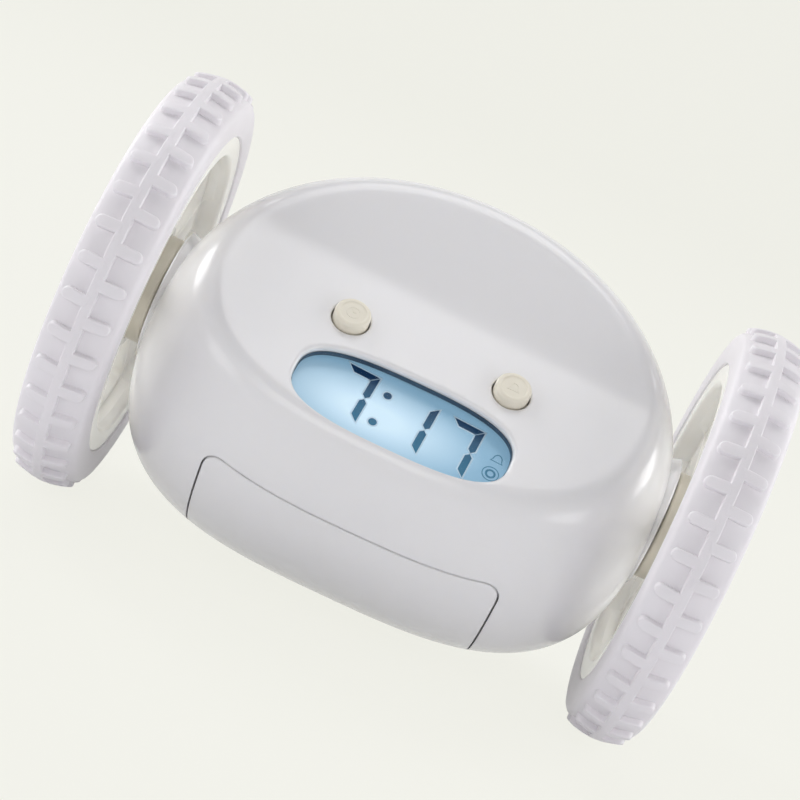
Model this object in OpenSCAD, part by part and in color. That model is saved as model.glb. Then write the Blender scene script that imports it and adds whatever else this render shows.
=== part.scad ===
// Runaway alarm clock on two big wheels.
// The axle runs along X, the face looks along -Y and up, and the origin lies on the
// floor, right under the middle of the axle. All sizes are in millimetres.

/* [Body] */
// Half length of the body along the axle
body_half_len = 51.5; // [49:0.5:53]
// Radius of the body round the axle
body_r = 40.5; // [38:0.5:41.5]
// How far the body's top stands above its bottom, halved
body_lift = 1.2; // [0:0.1:1.5]
// Roundness exponent of the body's outline half way up
body_square = 2.6; // [2.4:0.05:2.8]
// How much rounder the top is than that, and how much squarer the bottom
body_square_swing = 0.55; // [0.2:0.05:0.6]
// Wall of both shells
wall = 2.2; // [1.6:0.1:2.6]
// Elevation of the front shell's axis, square to the parting plane
parting_tilt = 12; // [6:1:16]
// Radius of the flat collar at each end of the body
collar_r = 13; // [12:0.5:14]
// Wall round the battery well
well_wall = 1.6; // [1.2:0.1:2]

/* [Face] */
// Elevation of the flat plate that carries the display and the buttons
plate_tilt = 52; // [48:1:56]
// Distance of that plate from the axle
plate_dist = 24.3; // [23.5:0.1:26]
// Where the scoop over the plate starts, above the plate's middle
scoop_start = 2; // [0:0.5:6]
// Radius of the bend from the plate to the scoop
scoop_bend_r = 30; // [20:1:40]
// Slope of the scoop against the plate, in degrees
scoop_slope = 11; // [8:1:14]

/* [Display] */
// Width of the mouth-shaped display window
mouth_w = 41.8; // [36:0.2:43]
// Height of the window at its middle
mouth_h = 17.4; // [14:0.2:17.6]
// Squareness of the window's outline, 2 being an ellipse
mouth_square = 2.9; // [2.4:0.1:3.6]
// Drop of the window's middle below the plate's middle
mouth_drop = 22; // [21.4:0.1:22.2]
// Depth of the lens face below the plate
lens_sink = 0.9; // [0.4:0.1:1.4]
// Thickness of the liquid crystal glass
lcd_t = 2; // [1.6:0.1:2.4]
// Thickness of the backlight block behind the glass
backlight_t = 2.4; // [1.8:0.1:3]

/* [Front buttons] */
// Radius of the two round buttons
eye_r = 3.4; // [3:0.1:4]
// Distance of each button from the middle
eye_x = 16; // [14:0.5:18]
// Drop of the buttons below the plate's middle
eye_drop = 7; // [6:0.1:7.4]
// Height of the buttons above the plate
eye_proud = 1.9; // [1.2:0.1:2.4]
// Travel of the buttons
eye_travel = 0.6; // [0.4:0.1:0.8]
// Gap round the buttons
button_gap = 0.3; // [0.2:0.05:0.4]

/* [Rear buttons] */
// Elevation of the snooze button's axis at the back, past the top
snooze_tilt = 128; // [124:1:132]
// Width of the snooze button
snooze_w = 30; // [24:1:34]
// Height of the snooze button
snooze_h = 10; // [8:0.5:12]
// Distance of the snooze button's face from the axle
snooze_dist = 41.6; // [41:0.1:42.5]
// Travel of the snooze button
snooze_travel = 1; // [0.6:0.1:1.2]
// Elevation of the hour and minute buttons' axes at the back
set_tilt = 152; // [149:1:155]
// Radius of the hour and minute buttons
set_r = 2.6; // [2:0.1:3]
// Distance of the hour and minute buttons from the middle
set_x = 12; // [9:0.5:16]
// Distance of their faces from the axle
set_dist = 41; // [40.6:0.1:41.6]
// Travel of the hour and minute buttons
set_travel = 0.6; // [0.4:0.1:0.8]

/* [Battery door] */
// Elevation of the door's axis, below the horizon
door_tilt = -49; // [-52:1:-46]
// Width of the door along the axle
door_w = 58; // [55:1:60]
// Height of the door across its axis
door_h = 31; // [29:0.5:32]
// Radius of the door's corners
door_corner = 3.5; // [2:0.5:5]
// Gap round the door
door_gap = 0.35; // [0.25:0.05:0.5]
// Thickness of the door
door_t = 1.8; // [1.4:0.1:2]

/* [Batteries] */
// Radius of one cell
cell_r = 5.2; // [5:0.05:5.25]
// Length of one cell with its terminal
cell_len = 44.5; // [43:0.5:45]
// Distance of the cell pack's middle from the axle
pack_dist = 23.6; // [23:0.1:24]

/* [Wheels] */
// Radius of the wheel over the middle rib of its tread
wheel_r = 42.2; // [41.2:0.5:44.2]
// Distance of the wheel's middle from the end of the body
wheel_out = 6.1; // [5.7:0.1:6.8]
// Width of the tyre
tyre_w = 13.2; // [12.4:0.2:14]
// Depth of the tyre, from its middle rib to the rim
tyre_depth = 9.2; // [8.2:0.25:10]
// Height of the lugs and the rib over the tread floor
lug_h = 1.3; // [0.8:0.1:1.6]
// Fall of the tread from its middle to its edge
tread_crown = 1.1; // [0.6:0.1:1.4]
// Number of lugs on each side of the rib
lug_count = 37; // [30:1:40]
// Width of one lug
lug_w = 2.3; // [1.8:0.1:2.8]
// Distance of a lug's round tip from the tyre's middle
lug_reach = 5.3; // [4.6:0.1:5.6]
// Width of the middle rib
rib_w = 1.9; // [1.5:0.1:2.6]
// Radius of the wheel's hub boss
hub_r = 10.8; // [10:0.1:11.4]
// Inner radius of the windows in the wheel
window_in_r = 13; // [12.5:0.5:14]
// Wall of the rim, between the tyre and the windows
rim_wall = 5; // [4:0.25:6.5]
// Number of spokes
spoke_count = 5; // [5:1:6]
// Turn of the spokes about the axle
spoke_turn = 26; // [0:1:71]
// Width of one spoke
spoke_w = 7; // [6:0.5:8]
// Thickness of the wheel's web
web_t = 4; // [3:0.5:5]
// Radius of the round hub cap on the outside
cap_r = 9; // [8:0.5:10]

/* [Drive] */
// Tooth module of all the gears
gear_m = 0.5; // [0.5:0.01:0.52]
// Teeth of the large gears
big_teeth = 40; // [38:2:40]
// Teeth of the pinions
pinion_teeth = 10; // [10:1:11]
// Thickness of the large gears
gear_t = 3; // [2:0.25:3]
// Direction from the axle to the middle gear, seen along the axle
train_dir1 = -25; // [-30:1:-20]
// Direction from the middle gear to the motor
train_dir2 = -75; // [-80:1:-70]
// Radius of the wheel axle
axle_r = 1.75; // [1.5:0.05:1.9]
// Radius of the fixed pin that the middle gear turns on
pin_r = 0.8; // [0.6:0.05:0.9]
// Radius of the motor shaft
shaft_r = 0.75; // [0.6:0.05:0.9]
// Radial running clearance of shafts and pins
run_gap = 0.05; // [0.04:0.01:0.08]
// Radius of the motor's round sides
motor_r = 9; // [8:0.25:9.5]
// Thickness of the motor across its flats
motor_flat = 14; // [12:0.5:15]
// Length of the motor's case
motor_len = 24; // [20:0.5:25]
// Thickness of the gear frame's plates
frame_t = 1.6; // [1.2:0.1:1.8]

/* [Sound] */
// Radius of the loudspeaker
speaker_r = 13; // [11:0.5:13.5]
// Depth of the loudspeaker
speaker_t = 5; // [4:0.5:6]
// Elevation of the loudspeaker's axis at the back
speaker_tilt = 189; // [186:1:192]

/* [Hidden] */

eps = 0.01;
far = 120;                        // past every outline of the body
seat_gap = 0.15;                  // between pieces that only rest on each other
RIGHT = 1;
LEFT = -1;

shell_white = "#f4f3ef";
ivory = "#ece7d8";
tyre_white = "#efeef2";
steel = "#b9bbbe";
brass = "#c9a85a";
board_green = "#2f6b46";

// The body's outline: a superellipse along X at each direction round the axle.
function body_n(dir) = body_square - body_square_swing * sin(dir);
function body_b(dir, inset) = body_r + body_lift * sin(dir) - inset;
function body_point(dir, turn, inset) =
    let (p = 2 / body_n(dir),
         x = (body_half_len - inset) * sign(sin(turn)) * pow(abs(sin(turn)), p),
         r = body_b(dir, inset) * pow(abs(cos(turn)), p))
    [x, -r * cos(dir), r * sin(dir)];

// A closed skin of that outline, set in by inset, as rings of points between two poles.
module body_skin(inset, sides, rings) {
    a = body_half_len - inset;
    ring_points = [for (i = [1 : rings - 1], k = [0 : sides - 1])
        body_point(k * 360 / sides, -90 + i * 180 / rings, inset)];
    points = concat(ring_points, [[-a, 0, 0], [a, 0, 0]]);
    low = len(ring_points);
    last = (rings - 2) * sides;
    quads = [for (i = [0 : rings - 3], k = [0 : sides - 1])
        let (n = (k + 1) % sides)
        [i * sides + k, i * sides + n, (i + 1) * sides + n, (i + 1) * sides + k]];
    walls = [for (q = quads, half = [0, 1])
        half == 0 ? [q[0], q[1], q[2]] : [q[0], q[2], q[3]]];
    start = [for (k = [0 : sides - 1]) [low, (k + 1) % sides, k]];
    end = [for (k = [0 : sides - 1]) [low + 1, last + k, last + (k + 1) % sides]];
    polyhedron(points, concat(walls, start, end));
}

// Frames that the pieces are drawn in.
module at_axle() translate([0, 0, wheel_r]) children();
// Turns +Z to the given elevation in front of the body, with +X kept.
module facing(elevation) rotate([90 - elevation, 0, 0]) children();
module on_side(side) mirror([side < 0 ? 1 : 0, 0, 0]) children();
module rod_x(x0, x1, r) translate([x0, 0, 0]) rotate([0, 90, 0]) cylinder(h = x1 - x0, r = r, $fn = 64);
module slab_x(x0, x1) translate([x0, 0, 0]) rotate([90, 0, 90]) linear_extrude(x1 - x0) children();
module spin_x() rotate([90, 0, 90]) rotate_extrude($fn = 96) children();
module half_space(elevation, from)
    facing(elevation) translate([-far, -far, from]) cube([2 * far, 2 * far, far]);

// ---- Face: plate, scoop, window and front buttons ----
lens_flange = 0.8;
lens_flange_t = 0.8;
lcd_over = 0.6;                   // how far the glass covers past the window's ends
lcd_rise = 1.8;                   // how much higher it sits, as it is looked at from below
lcd_w = mouth_w + 2 * lcd_over;
lcd_h = mouth_h + 0.4;
lcd_v = lcd_rise - mouth_drop;    // middle of the glass in the plate's frame
board_t = 1.2;
board_w = 56;
board_low = -29;
board_high = 8;
lens_back = plate_dist - wall - lens_flange_t;
lcd_front = lens_back - seat_gap;
backlight_front = lcd_front - lcd_t;
board_front = backlight_front - backlight_t;
switch_size = 6;
switch_h = 2.8;
plunger_r = 1.6;
plunger_h = 0.4;
eye_flange = 0.7;
eye_flange_t = 0.8;
eye_stem_r = 1.5;
eye_stem_end = board_front + switch_h + plunger_h + eye_travel + 0.1;

// The face profile, plate then bend then scoop, lowered by drop; x is up the plate.
function face_line(drop) =
    let (z = plate_dist - drop,
         bend = [for (a = [0 : scoop_slope / 4 : scoop_slope + eps])
            [scoop_start + scoop_bend_r * sin(a), z + scoop_bend_r * (1 - cos(a))]],
         last = bend[len(bend) - 1])
    concat([[-far, z]], bend,
           [[last[0] + far * cos(scoop_slope), last[1] + far * sin(scoop_slope)], [-far, 2 * far]]);

module above_face(drop) facing(plate_tilt) slab_x(-far, far) polygon(face_line(drop));

// The window's outline, a flat superellipse like a mouth, grown all round.
function bulge(c) = sign(c) * pow(abs(c), 2 / mouth_square);
module mouth(grow) polygon([for (a = [0 : 7.5 : 359])
    [(mouth_w / 2 + grow) * bulge(cos(a)), (mouth_h / 2 + grow) * bulge(sin(a))]]);

module on_plate(x, v, z) facing(plate_tilt) translate([x, v, z]) children();
module at_mouth(z) on_plate(0, -mouth_drop, z) children();
module at_eye(side, z) on_plate(side * eye_x, -eye_drop, z) children();

// Screw spots of the main board, in the plate's frame, and of the shells, in the
// frame of the parting plane.
board_spots = [[-25, 3], [25, 3], [-25.5, -11], [25.5, -11]];
board_post_r = 2.2;
board_screw_r = 0.95;
board_screw_bite = 2.8;
shell_spots = [[-26, 27.5], [26, 27.5], [-36, -26.5], [36, -26.5]];
shell_post_r = 3.8;
shell_screw_r = 1.2;
shell_screw_seat = -8;
shell_screw_bite = 5;
screw_end = 0.5;                  // room in a post's hole past the screw's end
head_r = 2.4;
head_t = 1.4;
part_gap = 0.1;

module at_shell_spots(z) for (s = shell_spots) facing(parting_tilt) translate([s[0], s[1], z]) children();
module at_board_spots(z) for (s = board_spots) on_plate(s[0], s[1], z) children();

// ---- Rear buttons ----
rear_tilt = (snooze_tilt + set_tilt) / 2;
snooze_v = -snooze_dist * sin(rear_tilt - snooze_tilt);
set_v = set_dist * sin(set_tilt - rear_tilt);
rear_board_front = 29.8;
rear_board_w = 34;
rear_board_low = -14;
rear_board_high = 12;
rear_flange = 1.1;
rear_flange_t = 0.8;
rear_flange_front = 35.2;
rear_plunger_front = rear_board_front + switch_h + plunger_h;
rear_spots = [[-14.2, -0.6], [14.2, -0.6]];
module at_rear(x, v, z) facing(rear_tilt) translate([x, v, z]) children();
module snooze_outline(grow) {
    r = snooze_h / 2;
    for (s = [-1, 1]) translate([s * (snooze_w / 2 - r), 0]) circle(r + grow, $fn = 48);
    square([snooze_w - 2 * r, snooze_h + 2 * grow], center = true);
}

// ---- Battery door and well ----
pack_pitch = 2 * cell_r + 0.3;
well_in_x = cell_len / 2 + 2.6;
well_in_v = pack_pitch / 2 + cell_r + 0.3;
well_floor = pack_dist - well_in_v;
well_top = 32.4;
door_ledge = 1.4;
module at_door(x, v, z) facing(door_tilt) translate([x, v, z]) children();
module door_outline(grow) {
    r = door_corner + grow;
    w = door_w / 2 + grow - r;
    h = door_h / 2 + grow - r;
    for (x = [-w, w], y = [-h, h]) translate([x, y]) circle(r, $fn = 32);
    square([2 * w, 2 * (h + r)], center = true);
    square([2 * (w + r), 2 * h], center = true);
}
module door_prism(grow) at_door(0, 0, well_floor) linear_extrude(far) door_outline(grow);

// ---- Drive train, in the plane across the axle ----
gear_add = 0.9;                   // tooth height outside the pitch circle, in modules
gear_ded = 1.2;                   // and inside it
gear_thin = 0.2;                  // share of the tooth's width given to backlash
gear_flank = 20;                  // pressure angle
train_pitch = gear_m * (big_teeth + pinion_teeth) / 2;
mid_gear = train_pitch * [cos(train_dir1), sin(train_dir1)];
motor_at = mid_gear + train_pitch * [cos(train_dir2), sin(train_dir2)];
big_r = gear_m * (big_teeth / 2 + gear_add);
frame_gap = 2.25;                 // from the battery tray's end to the gear frame, for the leads
frame_x = well_in_x + well_wall + frame_gap;  // inner face of the gear frame
frame_out = frame_x + frame_t;
big_x = frame_out + 1.4;          // inner face of the middle gear
mid_pinion_x = big_x + gear_t;
out_gear_x = mid_pinion_x + 0.8;
mid_end_x = out_gear_x + gear_t + 0.6;
cover_x = mid_end_x + 0.5;
cover_out = cover_x + frame_t;
motor_x = frame_x - motor_len;    // back of the motor
bush_flange_t = 1.2;
bush_x = cover_out + 0.3;
bush_r = 4;
bush_flange_r = 5.4;
hub_gap = 0.4;
hub_x = body_half_len + hub_gap;
pillars = [[11.3, 7.6], [-1, -13.4]];
pillar_r = 1.6;

// Half the angle of a tooth at radius r: an involute on its base circle.
function involute(a) = tan(a) * 180 / PI - a;
function tooth_half(teeth, r) =
    let (pitch = gear_m * teeth / 2, base = pitch * cos(gear_flank))
    90 / teeth * (1 - gear_thin) + involute(gear_flank) - involute(acos(min(1, base / r)));
function tooth_radii(teeth) =
    let (pitch = gear_m * teeth / 2,
         foot = pitch - gear_ded * gear_m,
         from = max(foot, pitch * cos(gear_flank)),
         tip = pitch + gear_add * gear_m)
    concat([foot], [for (i = [0 : 3]) from + (tip - from) * i / 3]);
function turned(r, a) = [r * cos(a), r * sin(a)];
module gear_outline(teeth) {
    radii = tooth_radii(teeth);
    base = gear_m * teeth / 2 * cos(gear_flank);
    n = len(radii);
    polygon([for (k = [0 : teeth - 1], i = [0 : 2 * n - 1])
        let (r = i < n ? radii[i] : radii[2 * n - 1 - i],
             half = tooth_half(teeth, max(r, base)))
        turned(r, k * 360 / teeth + (i < n ? -half : half))]);
}
module gear(teeth, at, turn, x0, x1) {
    slab_x(x0, x1) translate(at) rotate(turn) gear_outline(teeth);
}
module rod_at(at, x0, x1, r) translate([0, at[0], at[1]]) rod_x(x0, x1, r);

// ---- Wheels ----
rim_inset = 0.4;                  // of the rim's faces from the tyre's sides
key_half = 2;                     // half the width of the rim's groove that locks the tyre
key_h = 1.2;                      // and its depth
wheel_x = body_half_len + wheel_out;
tyre_seat_r = wheel_r - tyre_depth;
window_out_r = tyre_seat_r - rim_wall;
rim_half = tyre_w / 2 - rim_inset;
web_x = wheel_x - 2.2;            // inner face of the web
web_out = web_x + web_t;
hub_out = web_out + 2;
window_half = 180 / spoke_count;
tread_edge = tyre_w / 2 - 1;
function crowned(r, x) = r - tread_crown * pow(x / tread_edge, 2);
floor_r = wheel_r - lug_h;

// ================= Shells =================

module body_solid() difference() {
    union() {
        body_skin(0, 36, 20);
        rod_x(-body_half_len, body_half_len, collar_r);
    }
    above_face(0);
}

// The hollow inside the shells; its children stay solid.
module hollow() difference() {
    body_skin(wall, 24, 14);
    above_face(wall);
    children();
}

module front_shell() color(shell_white) at_axle() difference() {
    intersection() {
        body_solid();
        half_space(parting_tilt, part_gap / 2);
    }
    hollow() {
        at_shell_spots(0) cylinder(h = far, r = shell_post_r, $fn = 48);
        at_board_spots(board_front + seat_gap) cylinder(h = far, r = board_post_r, $fn = 32);
    }
    at_shell_spots(0) cylinder(h = shell_screw_bite + screw_end, r = shell_screw_r, $fn = 32);
    at_board_spots(board_front) cylinder(h = board_screw_bite + screw_end, r = board_screw_r, $fn = 32);
    at_mouth(0) linear_extrude(far) mouth(0);
    at_mouth(backlight_front) linear_extrude(plate_dist - wall - backlight_front)
        mouth(lens_flange + seat_gap);
    for (s = [LEFT, RIGHT]) at_eye(s, 0) cylinder(h = far, r = eye_r + button_gap, $fn = 64);
    difference() {
        door_prism(door_gap);
        body_skin(door_t + seat_gap, 24, 14);
    }
    door_prism(-door_ledge);
    rod_x(-far, far, bush_r);
}

module rear_shell() color(shell_white) at_axle() difference() {
    intersection() {
        body_solid();
        facing(parting_tilt) translate([-far, -far, -far - part_gap / 2]) cube([2 * far, 2 * far, far]);
    }
    hollow() {
        at_shell_spots(-far) cylinder(h = far, r = shell_post_r, $fn = 48);
        for (s = rear_spots)
            at_rear(s[0], s[1], rear_board_front + seat_gap) cylinder(h = far, r = 2, $fn = 32);
        for (s = [LEFT, RIGHT]) on_side(s) motor_ribs();
    }
    at_shell_spots(-far) cylinder(h = far + eps, r = shell_screw_r + 0.2, $fn = 32);
    at_shell_spots(-far) cylinder(h = far + shell_screw_seat, r = head_r + 0.3, $fn = 48);
    for (s = rear_spots) at_rear(s[0], s[1], rear_board_front)
        cylinder(h = board_screw_bite + 0.4, r = board_screw_r, $fn = 32);
    at_rear(0, snooze_v, 0) linear_extrude(far) snooze_outline(button_gap);
    for (s = [LEFT, RIGHT]) at_rear(s * set_x, set_v, 0) cylinder(h = far, r = set_r + button_gap, $fn = 48);
    speaker_slots();
    rod_x(-far, far, bush_r);
}

// Two ribs on the rear shell that hold a motor and its gear frame.
module motor_ribs() {
    for (x = [[18, 20], [frame_out + seat_gap, frame_out + 1.5]])
        slab_x(x[0], x[1]) difference() {
            translate([mid_gear[0] + 10, motor_at[1] - 20]) square([30, 30]);
            translate(motor_at) circle(motor_r + seat_gap, $fn = 64);
            translate(mid_gear) circle(big_r + 0.8, $fn = 64);
        }
}

speaker_sink = 6.5;               // of the loudspeaker's face under the body's radius
speaker_front = body_r - speaker_sink;
module at_speaker(z) facing(speaker_tilt) translate([0, 0, z]) children();
module speaker_slots() at_speaker(speaker_front) for (i = [-3 : 3])
    let (len = 2 * sqrt(pow(speaker_r - 3, 2) - pow(i * 3, 2)))
    translate([-len / 2, i * 3 - 0.6, 0]) cube([len, 1.2, far]);

module battery_door() color(shell_white) at_axle() {
    intersection() {
        difference() {
            body_skin(0, 36, 20);
            body_skin(door_t, 24, 14);
        }
        door_prism(0);
    }
}

// ================= Display and front buttons =================

module display_lens() color("lightblue", 0.4) at_axle() {
    at_mouth(lens_back) linear_extrude(plate_dist - lens_sink - lens_back) mouth(-0.1);
    at_mouth(lens_back) linear_extrude(lens_flange_t) mouth(lens_flange);
}

module lcd_panel() color("#b9d6e8") at_axle()
    on_plate(-lcd_w / 2, lcd_v - lcd_h / 2, backlight_front) cube([lcd_w, lcd_h, lcd_t]);

module lcd_backlight() color("white") at_axle()
    on_plate(-lcd_w / 2, lcd_v - lcd_h / 2, board_front) cube([lcd_w, lcd_h, backlight_t]);

module main_board() color(board_green) at_axle() difference() {
    on_plate(-board_w / 2, board_low, board_front - board_t)
        cube([board_w, board_high - board_low, board_t]);
    at_board_spots(0) cylinder(h = far, r = 1.1, $fn = 32);
}

module board_chip() color("#202224") at_axle() {
    on_plate(0, -9, board_front - board_t - 1.4) cylinder(h = 1.4, r = 6, $fn = 48);
    on_plate(-18, -16, board_front - board_t - 2) cube([9, 4, 2]);
    on_plate(14, -14, board_front - board_t - 2.6) cylinder(h = 2.6, r = 2.5, $fn = 32);
}

module tact_switch() {
    translate([-switch_size / 2, -switch_size / 2, 0]) cube([switch_size, switch_size, switch_h]);
    translate([0, 0, switch_h]) cylinder(h = plunger_h, r = plunger_r, $fn = 32);
}

module front_switches() color("#303236") at_axle()
    for (s = [LEFT, RIGHT]) at_eye(s, board_front) tact_switch();

module board_screw() {
    cylinder(h = board_t + board_screw_bite, r = board_screw_r, $fn = 32);
    translate([0, 0, -1.2]) cylinder(h = 1.2, r = 1.9, $fn = 32);
}

module front_button(side) color(ivory) at_axle() at_eye(side, 0) {
    translate([0, 0, plate_dist - wall - 0.1]) cylinder(h = wall + 0.1 + eye_proud, r = eye_r, $fn = 64);
    translate([0, 0, plate_dist - wall - 0.1 - eye_flange_t])
        cylinder(h = eye_flange_t, r = eye_r + eye_flange, $fn = 64);
    translate([0, 0, eye_stem_end])
        cylinder(h = plate_dist - wall - 0.1 - eye_flange_t - eye_stem_end, r = eye_stem_r, $fn = 32);
}
module left_front_button() front_button(LEFT);
module right_front_button() front_button(RIGHT);

// ================= Rear buttons =================

module snooze_button() color(ivory) at_axle() {
    intersection() {
        at_rear(0, snooze_v, rear_flange_front) linear_extrude(far) snooze_outline(0);
        rod_x(-far, far, snooze_dist);
    }
    at_rear(0, snooze_v, rear_flange_front - rear_flange_t) linear_extrude(rear_flange_t)
        snooze_outline(rear_flange);
    at_rear(0, snooze_v, rear_plunger_front + snooze_travel + 0.1)
        cylinder(h = rear_flange_front - rear_flange_t - rear_plunger_front - snooze_travel - 0.1,
                 r = eye_stem_r, $fn = 32);
}

module set_button(side) color(ivory) at_axle() at_rear(side * set_x, set_v, 0) {
    translate([0, 0, rear_flange_front]) cylinder(h = set_dist - rear_flange_front, r = set_r, $fn = 48);
    translate([0, 0, rear_flange_front - rear_flange_t])
        cylinder(h = rear_flange_t, r = set_r + rear_flange, $fn = 48);
    translate([0, 0, rear_plunger_front + set_travel + 0.1])
        cylinder(h = rear_flange_front - rear_flange_t - rear_plunger_front - set_travel - 0.1,
                 r = eye_stem_r, $fn = 32);
}
module hour_button() set_button(LEFT);
module minute_button() set_button(RIGHT);

module rear_board() color(board_green) at_axle() difference() {
    at_rear(-rear_board_w / 2, rear_board_low, rear_board_front - board_t)
        cube([rear_board_w, rear_board_high - rear_board_low, board_t]);
    for (s = rear_spots) at_rear(s[0], s[1], 0) cylinder(h = far, r = 1.1, $fn = 32);
}

module rear_switches() color("#303236") at_axle() {
    at_rear(0, snooze_v, rear_board_front) tact_switch();
    for (s = [LEFT, RIGHT]) at_rear(s * set_x, set_v, rear_board_front) tact_switch();
}

module board_screws() color(steel) at_axle() {
    at_board_spots(board_front - board_t) board_screw();
    for (s = rear_spots) at_rear(s[0], s[1], rear_board_front - board_t) board_screw();
}

// ================= Sound =================

module loudspeaker() color("#3a3a3c") at_axle() {
    at_speaker(speaker_front - speaker_t) cylinder(h = speaker_t, r = speaker_r, $fn = 64);
    at_speaker(speaker_front - speaker_t - 2) cylinder(h = 2, r = speaker_r * 0.55, $fn = 64);
}

module speaker_ring() color("#55565a") at_axle() at_speaker(speaker_front) difference() {
    cylinder(h = 0.9, r = speaker_r, $fn = 64);
    translate([0, 0, -eps]) cylinder(h = 2, r = speaker_r - 1.6, $fn = 64);
}

// ================= Batteries =================

module battery_tray() color("#e3e3e0") at_axle() difference() {
    at_door(-well_in_x - well_wall, -well_in_v - well_wall, well_floor - well_wall)
        cube([2 * (well_in_x + well_wall), 2 * (well_in_v + well_wall), well_top - well_floor + well_wall]);
    at_door(-well_in_x, -well_in_v, well_floor) cube([2 * well_in_x, 2 * well_in_v, far]);
}

cell_spots = [[-1, -1], [1, -1], [-1, 1], [1, 1]];
function cell_v(i) = cell_spots[i][0] * pack_pitch / 2;
function cell_z(i) = pack_dist + cell_spots[i][1] * pack_pitch / 2;

module battery(i) color("#6f7d86") at_axle() at_door(0, cell_v(i), cell_z(i))
    on_side(i % 2 == 0 ? RIGHT : LEFT) {
    rod_x(-cell_len / 2, cell_len / 2 - 1, cell_r);
    rod_x(cell_len / 2 - 1, cell_len / 2, 1.9);
}
module battery_1() battery(0);
module battery_2() battery(1);
module battery_3() battery(2);
module battery_4() battery(3);

module battery_contacts() color(steel) at_axle() for (i = [0 : 3], s = [LEFT, RIGHT])
    at_door(0, cell_v(i), cell_z(i)) on_side(s) {
        translate([well_in_x - 0.5, -3.6, -3.6]) cube([0.5, 7.2, 7.2]);
        translate([cell_len / 2 + 0.1, 0, 0]) rotate([0, 90, 0])
            cylinder(h = well_in_x - 0.5 - cell_len / 2 - 0.1, r1 = 1.4, r2 = 3, $fn = 32);
    }

// ================= Fasteners of the shells =================

module shell_screws() color(steel) at_axle() at_shell_spots(0) difference() {
    union() {
        translate([0, 0, shell_screw_seat]) cylinder(h = shell_screw_bite - shell_screw_seat,
                                                     r = shell_screw_r, $fn = 32);
        translate([0, 0, shell_screw_seat - head_t]) cylinder(h = head_t, r = head_r, $fn = 48);
    }
    for (a = [0, 90]) rotate(a) translate([-1.5, -0.3, shell_screw_seat - head_t - eps]) cube([3, 0.6, 0.8]);
}

// ================= Wheels and drive =================

module window_sector() difference() {
    circle(window_out_r, $fn = 96);
    circle(window_in_r, $fn = 64);
    for (k = [0 : spoke_count - 1]) rotate(spoke_turn + k * 2 * window_half)
        translate([0, -spoke_w / 2]) square([far, spoke_w]);
}

module wheel(side) color(shell_white) at_axle() on_side(side) difference() {
    translate([wheel_x, 0, 0]) spin_x() polygon([
        [0, hub_x - wheel_x], [hub_r - 0.5, hub_x - wheel_x], [hub_r, hub_x - wheel_x + 0.5],
        [hub_r, web_x - wheel_x], [window_out_r, web_x - wheel_x],
        [window_out_r, -rim_half + 0.8], [window_out_r + 0.8, -rim_half],
        [tyre_seat_r, -rim_half], [tyre_seat_r, -key_half], [tyre_seat_r - key_h, -key_half],
        [tyre_seat_r - key_h, key_half], [tyre_seat_r, key_half], [tyre_seat_r, rim_half],
        [window_out_r + 0.8, rim_half], [window_out_r, rim_half - 0.8],
        [window_out_r, web_out - wheel_x], [hub_r, web_out - wheel_x],
        [hub_r, hub_out - wheel_x], [0, hub_out - wheel_x]]);
    slab_x(web_x - eps, web_out + eps) window_sector();
    rod_x(0, far, axle_r);
}

module tyre_profile() {
    side = tyre_w / 2;
    half = concat(
        [for (i = [0 : 4]) let (x = tread_edge * i / 4) [crowned(floor_r, x), x]],
        [[crowned(floor_r, tread_edge) - 0.5, side - 0.4], [crowned(floor_r, tread_edge) - 1.4, side],
         [tyre_seat_r + 0.6, side], [tyre_seat_r, side - rim_inset], [tyre_seat_r, key_half],
         [tyre_seat_r - key_h, key_half]]);
    for (s = [0, 1]) mirror([0, s]) polygon(concat(half, [[tyre_seat_r - key_h, 0]]));
}

module tread_band() {
    top = [for (i = [-4 : 4]) let (x = tread_edge * i / 4) [crowned(wheel_r, x), x]];
    polygon(concat(top, [[floor_r - 2.4, tread_edge], [floor_r - 2.4, -tread_edge]]));
}

module lug() translate([0, 0, floor_r - 1.6]) linear_extrude(5) {
    translate([0, -lug_w / 2]) square([lug_reach - lug_w / 2, lug_w]);
    translate([lug_reach - lug_w / 2, 0]) circle(lug_w / 2, $fn = 24);
}

module tyre(side) color(tyre_white) at_axle() on_side(side) translate([wheel_x, 0, 0]) {
    spin_x() tyre_profile();
    intersection() {
        spin_x() tread_band();
        union() {
            for (k = [0 : lug_count - 1], s = [0, 1])
                rotate([(k + s / 2) * 360 / lug_count, 0, 0]) mirror([s, 0, 0]) lug();
            spin_x() translate([floor_r - 1.6, -rib_w / 2]) square([5, rib_w]);
        }
    }
}

module hub_cap(side) color(ivory) at_axle() on_side(side) difference() {
    translate([hub_out, 0, 0]) spin_x()
        polygon([[0, 0], [cap_r, 0], [cap_r, 1.8], [cap_r - 1.2, 3], [0, 3.4]]);
    rod_x(hub_out - eps, hub_out + 1.9, cap_r - 1.6);
}

module wheel_screw(side) color(steel) at_axle() on_side(side) {
    rod_x(hub_out, hub_out + 1.4, 3);
    rod_x(hub_out - 1.6, hub_out, axle_r);
}

module axle(side) color(steel) at_axle() on_side(side)
    rod_x(frame_x, hub_out - 1.6 - seat_gap, axle_r);

module bushing(side) color("#e9e7df") at_axle() on_side(side) difference() {
    union() {
        rod_x(bush_x, bush_x + bush_flange_t, bush_flange_r);
        rod_x(bush_x, body_half_len, bush_r);
    }
    rod_x(0, far, axle_r + run_gap);
}

module output_gear(side) color("#f0efe9") at_axle() on_side(side) difference() {
    union() {
        gear(big_teeth, [0, 0], train_dir1, out_gear_x, out_gear_x + gear_t);
        rod_x(out_gear_x, mid_end_x, 4);
    }
    rod_x(0, far, axle_r);
}

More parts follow.
